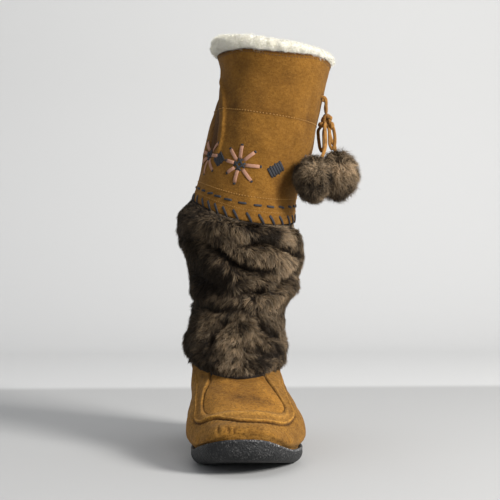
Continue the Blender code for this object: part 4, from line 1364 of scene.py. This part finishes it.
def make_ornament():
    """Eight-rayed stars and six-barred diamonds in turn round the lower cuff."""
    _, colours = settings()
    skin, _, _ = cuff_face()
    turns = np.radians(RAY_ANGLES)
    ways = np.stack([np.sin(turns), np.cos(turns)], -1)
    rays = []
    dark = []
    for number, centre in enumerate(STARS):
        reach = np.array(RAY_REACH) + 0.7 * np.sin(3.0 * np.arange(len(ways)) + number)
        centres = np.tile(centre, (len(ways), 1))
        rays.append(sewn(skin, centres, ways * RAY_START, ways * reach[:, None], 3.6, 1.2, 0.55, 7))
        holes = ways * (reach[:, None] + 0.9)
        dark.append(sewn(skin, centres, holes - 0.9 * ways, holes + 0.9 * ways, 2.7, 0.8, 0.2, 4))
        along = np.array([math.cos(HASH_TILT), math.sin(HASH_TILT)])
        side = np.array([-along[1], along[0]])
        first, last = [], []
        for one, other in ((along, side), (side, along)):
            for place in (-2.3, 2.3):
                first.append(one * -5.8 + other * place)
                last.append(one * 5.8 + other * place)
        dark.append(sewn(skin, centres[:4], first, last, 2.1, 1.0, 0.62, 7))
    for number, (theta, level, narrow) in enumerate(DIAMONDS):
        tilt = DIAMOND_TILT + 0.05 * math.sin(2.0 * number)
        along = np.array([math.cos(tilt), math.sin(tilt)])
        side = np.array([-along[1], along[0]])
        half = np.array(DIAMOND_BARS)[:, None] / 2
        place = (np.arange(len(half)) - (len(half) - 1) / 2)[:, None] * DIAMOND_PITCH * narrow * along
        centres = np.tile((theta, level), (len(half), 1))
        dark.append(sewn(skin, centres, place - half * side, place + half * side, 2.5 * narrow, 1.2, 0.5, 7))
    ray = tuple(colours.ray)
    rosy = finish("ray", lambda: thread_material("Rosy strips", ray, tuple(min(1, 1.35 * part) for part in ray)))
    points, faces = joined(rays)
    piece("star_rays", points, faces, rosy, "upper")
    points, faces = joined(dark)
    piece("dark_marks", points, faces, dark_thread(), "upper")


class MUKLUK_OT_stitches(bpy.types.Operator):
    """Sewn rows, whip stitches, stars and diamonds on the cuff"""

    bl_idname = "mukluk.stitches"
    bl_label = "Stitches and ornament"

    def execute(self, context):
        make_stitches()
        make_ornament()
        return {"FINISHED"}


# Pile: fur wrap, pompoms and fleece


def blades(roots, middles, tips, sides, width, shades):
    """Flat tapering ribbons of three triangles: two points at the root, two half way and one at the tip."""
    width = np.broadcast_to(np.asarray(width, float), (len(roots),))[:, None]
    ends = [roots - sides * width, roots + sides * width]
    points = np.stack(ends + [middles - sides * width * 0.8, middles + sides * width * 0.8, tips], 1)
    start = (np.arange(len(roots)) * 5)[:, None]
    faces = [np.concatenate([start + np.array(face) for face in ([0, 1, 3], [0, 3, 2], [2, 3, 4])])]
    tones = np.stack([shades[0], shades[0], shades[1], shades[1], shades[2]], 1)
    return points.reshape(-1, 3), faces, tones.reshape(-1, 3)


def combed(roots, out, comb, length, rise, width, shades, rng, roll=0.7):
    """Blades that leave their roots between outwards and the combed way and bend over towards the comb."""
    rise = np.asarray(rise)[:, None]
    length = np.asarray(length)[:, None]
    middles = roots + unit(out * rise * 1.5 + comb) * length * 0.5
    tips = middles + unit(out * rise * 0.35 + comb) * length * 0.5
    side = unit(np.cross(comb, out))
    angle = rng.normal(0, roll, (len(roots), 1))
    return blades(roots, middles, tips, unit(side * np.cos(angle) + out * np.sin(angle)), width, shades)


def scatter(grid, count, rng):
    """Random places on a grid of points, as many to each square millimetre: fractions of its rows and columns."""
    down = grid[1:, :-1] - grid[:-1, :-1]
    across = grid[:-1, 1:] - grid[:-1, :-1]
    area = np.linalg.norm(np.cross(down, across), axis=2)
    total = np.cumsum(area.ravel())
    cell = np.searchsorted(total, rng.uniform(0, total[-1], count))
    row, column = np.divmod(cell, area.shape[1])
    return row + rng.uniform(0, 1, count), column + rng.uniform(0, 1, count)


def tufts(points, size):
    """Number of the small tuft that each point belongs to, and the middle of that tuft's points."""
    cell = np.floor(points / size + 0.35 * waves(points, 9.0, 33)[:, None]).astype(int)
    key = (cell[:, 0] * 73856093) ^ (cell[:, 1] * 19349663) ^ (cell[:, 2] * 83492791)
    _, group = np.unique(key, return_inverse=True)
    groups = group.max() + 1
    middle = np.stack([np.bincount(group, points[:, i], groups) for i in range(3)], -1)
    return group, groups, (middle / np.bincount(group, minlength=groups)[:, None])[group]


def strand_shades(tone, rng):
    """Root, middle and tip colours of fur strands: dark roots, tips from dark to taupe by tone."""
    _, colours = settings()
    root, tip = np.array(colours.fur_root), np.array(colours.fur_tip)
    warm = np.array([1.0, 0.97, 0.93]) ** rng.normal(1, 1.5, (len(tone), 1))
    end = (root * 1.3 + (tip - root) * np.clip(tone, rng.uniform(0.0, 0.08, len(tone)), 1.6)[:, None]) * warm
    return np.broadcast_to(root * 0.6, end.shape), root + (end - root) * 0.42, end


def fur_material():
    """Strand colour from the piece's own tone, with a soft gloss."""
    made, tree, shader = new_material("Fur strands", 0.6)
    shader.inputs["Specular IOR Level"].default_value = 0.1
    tree.links.new(tone_of(tree), shader.inputs["Base Color"])
    return made


def backing_material():
    """Dark knitted backing under the pile."""
    _, colours = settings()
    made, tree, shader = new_material("Fur backing", 0.95)
    _, grain, _ = mottled(tree, 0.02, 0.0015)
    deep = tuple(0.8 * part for part in colours.fur_root)
    tree.links.new(blend(tree, grain, deep, (0.030, 0.022, 0.017)), shader.inputs["Base Color"])
    bumped(tree, shader, grain, 0.001)
    return made


def fur_shell(rows, around):
    """Outer face of the fur's backing: the fur's outer form sunk by the pile, its folds pressed in.

    Under the cuff it runs on as a plain collar, just inside the hem.
    """
    skin = SKINS["fur"]
    theta = np.arange(around) * TURN / around
    levels = np.linspace(0, FUR_END, rows)
    turn, level = np.meshgrid(theta, levels)
    outer = skin.at(turn, level)
    folds = -lines_near(outer, skin, [(pairs, width, -rise) for pairs, width, rise in FUR_FOLDS])
    open_ = 1 - step(level, FUR_TOP - 0.3, FUR_TOP + 0.8)
    puff = 1.0 * waves(outer, 46.0, 21) + 0.6 * waves(outer, 22.0, 22)
    puff = puff - 0.3 * lines_near(outer, skin, [(pairs, 2.3 * width, rise) for pairs, width, rise in FUR_FOLDS])
    # The shoulder stands up to the cuff's hem
    shoulder = step(level, 9.2, 10.2)
    height = np.interp(turn, *FUR_SHOULDER)
    depth = (np.clip(puff, -4, 2) - SHELL_DEPTH - folds) * (1 - shoulder) + height * shoulder
    depth = depth * open_
    return skin.at(turn, level, depth), folds * open_, levels


def make_fur():
    """Leg wrap: a backing with folds, and three bands of combed, clumped strands on it."""
    sizes, colours = settings()
    rows, around = 112, 240
    shell, folds, levels = fur_shell(rows, around)
    theta = np.arange(around) * TURN / around
    under = np.minimum(levels, FUR_TOP) / FUR_TOP * (HEM - INSTEP) + INSTEP + np.clip(levels - FUR_TOP, 0, None)
    inner = SKINS["fur_inside"].at(theta[None], under[:, None])
    # Keep the backing's thickness where a fold would press it through
    middle = shell.mean(1, keepdims=True)
    away = unit((shell - middle) * np.array([1, 1, 0]))
    thin = 1.2 - ((shell - inner) * away).sum(-1)
    shell = shell + np.clip(thin, 0, None)[..., None] * away * (levels < FUR_TOP + 0.5)[:, None, None]
    ringed("fur_backing", shell, inner[::6], finish("backing", backing_material), "fur_shaft")
    fur = finish("fur", fur_material)
    shown = int(rows * (FUR_TOP + 0.35) / FUR_END)
    cuts = np.linspace(0, shown, 4).astype(int)
    surface = Skin(np.arange(rows), shell)
    trough = np.concatenate([folds, folds[:, :1]], axis=1)[..., None]
    for number, (low, high) in enumerate(zip(cuts[:-1], cuts[1:])):
        rng = np.random.default_rng(31 + number)
        count = sizes.pile_count
        part = shell[low : high + 1]
        row, column = scatter(np.concatenate([part, part[:, :1]], axis=1), count, rng)
        row, turn = row + low, column / around * TURN
        base = surface.at(turn, row)
        along, up, out = surface.axes(turn, row)
        fold = np.clip(surface.read(trough, turn, row)[:, 0] / 6, 0, 1)
        shadow = np.clip(surface.read(trough, turn, np.maximum(row - 2.2, 0))[:, 0] / 4, 0, 1.4)
        group, groups, middle = tufts(base, 2.8)
        own = rng.normal(0, 1, (groups, 3))[group]
        facing = 1 - step(np.abs(turn - 3.3), 1.7, 2.9)
        swirl = 0.7 * np.tanh((turn - 3.3) / 0.5) * facing + 0.45 * waves(base, 38.0, 34)
        swirl += 0.30 * own[:, 0] + rng.normal(0, 0.24, count) + 0.18 * waves(base, 13.0, 37)
        comb = unit(-up * np.cos(swirl)[:, None] + along * np.sin(swirl)[:, None])
        length = sizes.pile / MM * np.clip(1 + 0.10 * own[:, 1] + rng.normal(0, 0.12, count), 0.5, 1.3)
        length = length * (1 - 0.35 * fold) * (1 - 0.3 * np.clip(shadow, 0, 1)) * (1 - 0.5 * step(row / (rows - 1) * FUR_END, 9.7, 10.5))
        near_hem = step(row / (rows - 1) * FUR_END, 10.6, 11.0)
        length = length * (0.7 + 0.3 * step(row / (rows - 1) * FUR_END, 0.0, 1.2))
        rise = np.clip(0.55 + 0.10 * own[:, 2] + rng.normal(0, 0.12, count), 0.15, 1.1) + 0.3 * near_hem
        comb = unit(comb + 1.0 * near_hem[:, None] * up)
        comb = unit(comb + (middle - base) / length[:, None] * 0.8)
        # Painted shade and light: side darkens the pile towards its inner side, the patches lighten its humps and
        # darken some spots, and shadow darkens strands whose tips lie over a fold's trough, as painted shade; the
        # waves, tufts and noise are the fur's own uneven tone
        side = np.interp(turn, FUR_SIDE_SHADE[0], FUR_SIDE_SHADE[1])
        tone = 0.30 * side * (1 + 0.45 * waves(base, 30.0, 35)) + 1.15 * patched(base, SKINS["fur"], FUR_PATCHES)
        tone += (0.14 * own[:, 1] + 0.12 * waves(base, 11.0, 36)) * (0.4 + side) - 0.75 * shadow * (0.5 + 0.5 * side)
        tone += rng.normal(0, 0.10, count)
        shades = strand_shades(tone, rng)
        points, faces, shades = combed(base, out, comb, length, rise, 0.21, shades, rng)
        piece(f"fur_pile_{number + 1}", points, faces, fur, "fur_shaft", shades)


def ball(centre, radii, rows, around):
    """Oval ball of rings of latitude, closed by a point at each pole."""
    rise = np.linspace(-math.pi / 2, math.pi / 2, rows + 2)[1:-1, None]
    turn = np.arange(around) * TURN / around
    ring = np.stack([np.cos(rise) * np.sin(turn), np.cos(rise) * np.cos(turn), np.sin(rise) + 0 * turn], -1)
    points = np.concatenate([ring.reshape(-1, 3), [[0, 0, -1], [0, 0, 1]]])
    index = np.arange(rows * around).reshape(rows, around)
    index = np.hstack([index, index[:, :1]])
    quads = np.stack([index[:-1, :-1], index[:-1, 1:], index[1:, 1:], index[1:, :-1]], -1).reshape(-1, 4)
    south = np.stack([np.full(around, rows * around), index[0, 1:], index[0, :-1]], -1)
    north = np.stack([np.full(around, rows * around + 1), index[-1, :-1], index[-1, 1:]], -1)
    return points * np.array(radii) + np.array(centre), [quads[:, ::-1], south[:, ::-1], north[:, ::-1]]


def make_pompom(side, centre, node_, spots, reach, seed):
    """Ball of pile: a dark core, and strands that stand out from it and lie over downwards in small tufts."""
    sizes, _ = settings()
    rng = np.random.default_rng(seed)
    core = np.array(POMPOM_SIZE) - POMPOM_PILE
    points, faces = ball(centre, core, 16, 32)
    body = piece(f"pompom_core_{side}", points, faces, finish("backing", backing_material), node_)
    count = sizes.pompom_count
    ways = unit(rng.normal(size=(count, 3)))
    roots = np.array(centre) + ways * core * 0.98
    out = unit(ways / core)
    group, groups, middle = tufts(ways * 20.0, 3.4)
    own = rng.normal(0, 1, (groups, 3))[group]
    down = np.array([0.0, 0.0, -1.0]) + 0.55 * own + 0.5 * rng.normal(size=(count, 3))
    down = down + 0.6 * np.stack([waves(roots, 17.0, seed + number) for number in (2, 3, 4)], -1)
    comb = unit(down - (down * out).sum(-1, keepdims=True) * out)
    comb = unit(comb + 0.9 * (unit(middle) - ways) * 3.0)
    length = reach * POMPOM_PILE * np.clip(1 + 0.10 * own[:, 0] + rng.normal(0, 0.12, count), 0.6, 1.4)
    rise = np.clip(0.95 + 0.15 * own[:, 2] + rng.normal(0, 0.2, count), 0.3, 1.8)
    tone = 0.32 + 0.16 * waves(ways * 20.0, 16.0, seed + 1) + 0.12 * own[:, 1] + rng.normal(0, 0.08, count)
    # Spots lighter and darker: partly the fur's own patches, partly painted light and shade
    for spot, radius, strength in spots:
        close = ((ways - unit(np.array(spot))) ** 2).sum(-1)
        tone = tone + strength * np.exp(-close / radius**2)
    shades = strand_shades(tone, rng)
    points, faces, shades = combed(roots, out, comb, length, rise, 0.22, shades, rng)
    fur = finish("fur", fur_material)
    pile = piece(f"pompom_pile_{side}", points, faces, fur, node_, shades)
    return body, pile


def fleece_material():
    """Off-white fleece, faintly soiled in patches."""
    _, colours = settings()
    made, tree, shader = new_material("Fleece", 0.95, Sheen_Weight=0.8, Sheen_Roughness=0.6, Subsurface_Weight=0.4)
    shader.inputs["Subsurface Radius"].default_value = (1.0, 1.0, 0.9)
    shader.inputs["Subsurface Scale"].default_value = 0.004
    patch, grain, _ = mottled(tree, 0.012, 0.0012)
    tint = tuple(colours.fleece)
    base = blend(tree, maths(tree, "MULTIPLY", patch, 0.3), tint, tuple(p * q for p, q in zip(tint, (0.93, 0.89, 0.8))))
    base = blend(tree, 1.0, base, tone_of(tree), "MULTIPLY")
    tree.links.new(base, shader.inputs["Base Color"])
    bumped(tree, shader, grain, 0.0012)
    return made


def make_lining():
    """Fleece inside the boot: a thin sleeve along the inner wall, from the footbed to the collar."""
    theta = np.arange(144) * TURN / 144
    levels = np.linspace(0.35, 19.6, 44)[:, None]
    inside = SKINS["inside"]
    inner = inside.at(theta[None], levels)
    lumps = 0.35 * waves(inner, 6.0, 61)
    outer = inside.at(theta[None], levels, np.full(levels.shape, 0.9))
    tone = np.ones((*outer.shape[:2], 3))
    inner = inside.at(theta[None], levels, lumps - 0.35)
    return ringed("shaft_lining", outer, inner, finish("fleece", fleece_material), "upper", tone)


def collar_rows(around):
    """Rolled edge of the fleece: its profile up the wall's inner side, over the top and down inside."""
    cuff = SKINS["cuff"]
    theta = np.arange(around) * TURN / around
    proud = four_sides(theta, *[LINING_PROUD[side] for side in ("back", "outer", "front", "inner")])
    bulge = four_sides(theta, *LINING_BULGE)
    profile = smooth(np.linspace(0, len(COLLAR_PROFILE) - 1, 40), np.arange(len(COLLAR_PROFILE)), COLLAR_PROFILE)
    rows = []
    for inset, drop, share, swell in profile:
        level = COLLAR - max(drop, 0) / COLLAR_STEP
        out = cuff.axes(theta, COLLAR)[2] * np.array([1, 1, 0])
        row = cuff.at(theta, level) + unit(out) * (swell * bulge - inset)[:, None]
        row[:, 2] += share * proud
        rows.append(row)
    return np.array(rows)


def make_collar():
    """Fleece collar: a lumpy rolled ring and the short curls on it."""
    sizes, _ = settings()
    around = 240
    rows = collar_rows(around)
    surface = Skin(np.arange(len(rows)), rows)
    theta = np.arange(around) * TURN / around
    turn, level = np.meshgrid(theta, np.arange(len(rows)))
    shape = surface.at(turn, level, 0.6 * waves(rows, 10.0, 62) + 0.2 * waves(rows, 4.5, 63))
    sections = shape.transpose(1, 0, 2)
    faces = facing_out(sections, tube_faces(around, len(rows), True))
    fleece = finish("fleece", fleece_material)
    tone = np.ones((sections.shape[0] * sections.shape[1], 3))
    piece("fleece_collar", sections, [faces], fleece, "collar_lining", tone)
    rng = np.random.default_rng(64)
    count = sizes.fleece_count
    lumpy = Skin(np.arange(len(rows)), shape)
    part = shape[9:34]
    row, column = scatter(np.concatenate([part, part[:, :1]], axis=1), count, rng)
    row, turn = row + 9, column / around * TURN
    roots = lumpy.at(turn, row, np.full(count, -0.3))
    along, up, out = lumpy.axes(turn, row)
    group, groups, middle = tufts(roots, 3.2)
    angle = 0.6 * rng.uniform(0, TURN, groups)[group] + rng.uniform(0, TURN, count)
    comb = unit(up * np.cos(angle)[:, None] + along * np.sin(angle)[:, None] + (middle - roots) * 0.1)
    length = 3.7 * np.clip(1 + rng.normal(0, 0.25, count), 0.5, 1.6)
    rise = np.clip(0.8 + rng.normal(0, 0.4, count), 0.2, 2.2)
    bright = (0.98 + 0.02 * rng.normal(size=groups)[group])[:, None] * np.ones(3)
    shades = (0.98 * bright, 1.03 * bright, np.clip(1.06 * bright, 0, 1.07))
    points, faces, shades = combed(roots, out, comb, length, rise, 0.15, shades, rng)
    piece("fleece_curls", points, faces, fleece, "collar_lining", shades)


class MUKLUK_OT_fur(bpy.types.Operator):
    """Fur leg wrap"""

    bl_idname = "mukluk.fur"
    bl_label = "Fur leg wrap"

    def execute(self, context):
        make_fur()
        return {"FINISHED"}


class MUKLUK_OT_fleece(bpy.types.Operator):
    """Fleece lining and collar"""

    bl_idname = "mukluk.fleece"
    bl_label = "Fleece lining and collar"

    def execute(self, context):
        make_lining()
        make_collar()
        return {"FINISHED"}


# Lace


def port(centre, size, towards):
    """Point just off an oval ball, on the line from its centre to another point."""
    line = np.subtract(towards, centre)
    reach = 1 / np.linalg.norm(line / np.array(size))
    return np.array(centre) + line * (reach + GAP / np.linalg.norm(line))


def lace_suede():
    """Tan suede of the lace, mottled, with paler flecks."""
    _, colours = settings()

    def make():
        made, tree, shader = new_material("Lace suede", 0.9, Sheen_Weight=0.12)
        shader.inputs["Specular IOR Level"].default_value = 0.2
        patch, grain, _ = mottled(tree, 0.006, 0.0009)
        tint = tuple(colours.lace)
        base = blend(tree, ramp(tree, patch, 0.35, 0.65), tuple(0.55 * part for part in tint), tint)
        pale = tuple(min(1.0, 1.6 * part) for part in tint)
        base = blend(tree, maths(tree, "MULTIPLY", ramp(tree, grain, 0.45, 0.75), 0.5), base, pale)
        tree.links.new(base, shader.inputs["Base Color"])
        bumped(tree, shader, grain, 0.0004, 0.7)
        return made

    return finish("lace", make)


def lace_strip(points, facing, twist, count):
    """Flat lace along a smooth route: its face turns about the route from a given way by a given twist."""
    sizes, _ = settings()
    path = route(points, count)
    way = unit(np.gradient(path, axis=0))
    face = unit(np.array(facing, float) - (way @ np.array(facing, float))[:, None] * way)
    angle = np.linspace(*twist, count)[:, None]
    normal = face * np.cos(angle) + np.cross(way, face) * np.sin(angle)
    width = sizes.lace / MM
    points, faces = straps(path[None], normal[None], width, LACE_THICKNESS)
    return path, points, faces


def free_lace(name, node_, points, facing, twist, with_pieces=()):
    """One free stretch of lace along its route."""
    path, mesh_points, faces = lace_strip(points, facing, twist, 44)
    made = piece(name, mesh_points, [faces], lace_suede(), node_)
    length = np.linalg.norm(np.diff(path, axis=0), axis=1).sum() * MM
    list(with_pieces)
    return made


def wrapped(centre, size, bands, width):
    """Groups of points and faces: a lumpy ball, and bands of flat lace round it, each a ring at its own slant."""
    points, faces = ball(centre, size * 0.86, 14, 24)
    points = points + unit(points - centre) * (0.35 * waves(points, 3.4, 71))[:, None]
    turn = np.arange(36) * TURN / 36
    around = (np.arange(8) + 0.5) * TURN / 8
    across = power(np.cos(around), 0.7)[:, None] * width / 2
    over = power(np.sin(around), 0.7)[:, None] * LACE_THICKNESS / 2
    groups = [(points, faces)]
    for lean, slew, place in bands:
        axis = unit(np.array([math.sin(lean) * math.cos(slew), math.sin(lean) * math.sin(slew), math.cos(lean)]))
        first = unit(np.cross(axis, [0.3, 1.0, 0.2]))
        second = np.cross(axis, first)
        spoke = np.cos(turn)[:, None] * first + np.sin(turn)[:, None] * second
        line = centre + axis * place + spoke * size * (1.06 - 0.025 * abs(place))
        way = unit(np.roll(line, -1, axis=0) - np.roll(line, 1, axis=0))
        out = unit(spoke - (spoke * way).sum(-1, keepdims=True) * way)
        side = np.cross(way, out)
        band = line[:, None] + side[:, None] * across + out[:, None] * over
        groups.append((band.reshape(-1, 3), [facing_out(band, tube_faces(len(turn), 8, True))]))
    return groups


def make_knot():
    """Tight knot: lumps of lace drawn through one another."""
    sizes, _ = settings()
    groups = []
    for offset, size, bands in KNOT_LUMPS:
        groups += wrapped(np.add(KNOT_CENTRE, offset), np.array(size), bands, sizes.lace / MM)
    total = 0
    all_points, all_faces = [], []
    for some, lists in groups:
        all_points.append(some)
        all_faces += [faces + total for faces in lists]
        total += len(some)
    return piece("lace_knot", np.concatenate(all_points), all_faces, lace_suede(), "tie_knot")


class MUKLUK_OT_lace(bpy.types.Operator):
    """Lace, knot and pompoms"""

    bl_idname = "mukluk.lace"
    bl_label = "Lace, knot and pompoms"

    def execute(self, context):
        cuff = SKINS["cuff"]
        knot_made = make_knot()
        front = make_pompom("front", POMPOM_FRONT, "pompom_front", FRONT_SPOTS, 1.5, 41)
        back = make_pompom("back", POMPOM_BACK, "pompom_back", BACK_SPOTS, 2.0, 43)
        knot = (KNOT_CENTRE, KNOT_SIZE)
        for side, loop, facing, twist, tied in (
            ("front", LOOP_FRONT, (0.2, -1.0, 0.1), (1.0, -0.2), (knot_made,)),
            ("back", LOOP_BACK, (0.3, -1.0, 0.2), (1.1, 0.1), ()),
        ):
            points = [port(*knot, loop[0]), *loop, port(*knot, loop[-1])]
            free_lace(f"lace_loop_{side}", f"tie_loop_{side}", points, facing, twist, tied)
        for side, end, centre, ball_, sunk in (
            ("front", END_FRONT, POMPOM_FRONT, front, 3.0),
            ("back", END_BACK, POMPOM_BACK, back, 7.0),
        ):
            last = port(centre, POMPOM_SIZE, end[-1])
            inward = last + unit(np.array(centre) - last) * sunk
            points = [port(*knot, end[0]), *end, last, inward]
            free_lace(f"lace_end_{side}", f"tie_end_{side}", points, (0.2, -1.0, 0.0), (-0.2, 0.5), ball_)
        first, last = [[cuff.at(*hole, lift) for lift in (-3.5, 0.4, 2.4)] for hole in TIE_HOLES]
        _, points, faces = lace_strip([*first, *TIE_FALL, *last[::-1]], (0.5, -1.0, 0.1), (0.5, -0.5), 40)
        piece("lace_strands", points, [faces], lace_suede(), "tie_bars")
        return {"FINISHED"}


# Stage


def make_camera():
    data = bpy.data.cameras.new("Camera")
    data.sensor_width = SENSOR
    data.lens = LENS
    data.clip_start = 0.05
    data.clip_end = 50.0
    camera = bpy.data.objects.new("Camera", data)
    bpy.context.scene.collection.objects.link(camera)
    place = np.array(CAMERA) * MM
    aim = np.array(LOOK_AT) * MM - place
    camera.location = place
    camera.rotation_euler = (
        math.atan2(math.hypot(aim[0], aim[1]), -aim[2]),
        0.0,
        math.atan2(-aim[0], aim[1]),
    )
    bpy.context.scene.camera = camera


def area_light(name, place, aim, power_, size, tint):
    data = bpy.data.lights.new(name, "AREA")
    data.energy = power_
    data.size = size
    data.color = tint
    lamp = bpy.data.objects.new(name, data)
    bpy.context.scene.collection.objects.link(lamp)
    lamp.location = place
    way = np.array(aim) - np.array(place)
    lamp.rotation_euler = (math.atan2(math.hypot(way[0], way[1]), -way[2]), 0.0, math.atan2(-way[0], way[1]))


def make_stage():
    """Pale floor that curves up into a wall, soft lights and an even sky."""
    _, colours = settings()
    made, tree, shader = new_material("Studio floor", 0.7)
    shader.inputs["Specular IOR Level"].default_value = 0.25
    place = node(tree, "SeparateXYZ", {0: node(tree, "TexCoord").outputs["Object"]}).outputs["Y"]
    wall = tuple(min(1.0, WALL_TO_FLOOR * part) for part in colours.floor)
    tint = blend(tree, ramp(tree, place, WALL_FROM - 0.03, WALL_FROM + 0.03), tuple(colours.floor), wall)
    tree.links.new(tint, shader.inputs["Base Color"])
    bend = np.linspace(0, math.pi / 2, 24)
    path = [(-3.0, 0.0)] + [(1.0 + 0.6 * math.sin(a), 0.6 - 0.6 * math.cos(a)) for a in bend] + [(1.6, 3.5)]
    across = np.linspace(-4.0, 4.0, 9)
    grid = np.array([[(x, y, z) for x in across] for y, z in path])
    index = np.arange(grid[..., 0].size).reshape(grid.shape[:2])
    quads = np.stack([index[:-1, :-1], index[:-1, 1:], index[1:, 1:], index[1:, :-1]], -1).reshape(-1, 4)
    mesh = bpy.data.meshes.new("studio_floor")
    mesh.from_pydata(grid.reshape(-1, 3).tolist(), [], quads.tolist())
    mesh.shade_smooth()
    mesh.materials.append(made)
    floor = bpy.data.objects.new("studio_floor", mesh)
    bpy.context.scene.collection.objects.link(floor)
    world = bpy.data.worlds.new("Studio")
    bpy.context.scene.world = world
    world.use_nodes = True
    world.node_tree.nodes["Background"].inputs[0].default_value = (0.94, 0.96, 1.0, 1.0)
    world.node_tree.nodes["Background"].inputs[1].default_value = 0.36
    area_light("Key", (1.55, -1.36, 1.15), (0.0, 0.0, 0.2), 82.0, 0.7, (1.0, 0.98, 0.95))
    area_light("Fill", (-1.5, -1.7, 0.45), (0.0, 0.0, 0.1), 8.0, 1.4, (0.9, 0.95, 1.0))
    area_light("Top", (0.1, 0.3, 2.2), (0.0, 0.0, 0.2), 14.0, 1.4, (1.0, 1.0, 1.0))
    bpy.context.scene.view_settings.view_transform = "Standard"


class MUKLUK_OT_stage(bpy.types.Operator):
    """Floor, lights and sky"""

    bl_idname = "mukluk.stage"
    bl_label = "Stage"

    def execute(self, context):
        make_stage()
        return {"FINISHED"}


class MUKLUK_OT_camera(bpy.types.Operator):
    """Camera at the viewing angle"""

    bl_idname = "mukluk.camera"
    bl_label = "Camera"

    def execute(self, context):
        make_camera()
        return {"FINISHED"}


class MUKLUK_PT_boot(bpy.types.Panel):
    """Sizes, colours and steps of the boot"""

    bl_label = "Mukluk boot"
    bl_space_type = "VIEW_3D"
    bl_region_type = "UI"
    bl_category = "Mukluk"

    def draw(self, context):
        for group in (context.scene.mukluk_sizes, context.scene.mukluk_colours):
            for name in group.bl_rna.properties.keys():
                if name not in ("rna_type", "name"):
                    self.layout.prop(group, name)
        for step in STEPS:
            self.layout.operator(step.bl_idname)


STEPS = (
    MUKLUK_OT_camera,
    MUKLUK_OT_lace,
    MUKLUK_OT_sole,
    MUKLUK_OT_suede,
    MUKLUK_OT_stitches,
    MUKLUK_OT_fur,
    MUKLUK_OT_fleece,
    MUKLUK_OT_stage,
)
CLASSES = (MuklukSizes, MuklukColours, *STEPS, MUKLUK_PT_boot)


def register():
    for made in CLASSES:
        bpy.utils.register_class(made)
    bpy.types.Scene.mukluk_sizes = bpy.props.PointerProperty(type=MuklukSizes)
    bpy.types.Scene.mukluk_colours = bpy.props.PointerProperty(type=MuklukColours)


def unregister():
    del bpy.types.Scene.mukluk_colours
    del bpy.types.Scene.mukluk_sizes
    for made in reversed(CLASSES):
        bpy.utils.unregister_class(made)


def main():
    register()
    for step in STEPS:
        family, name = step.bl_idname.split(".")
        getattr(getattr(bpy.ops, family), name)()


if __name__ == "__main__":
    main()
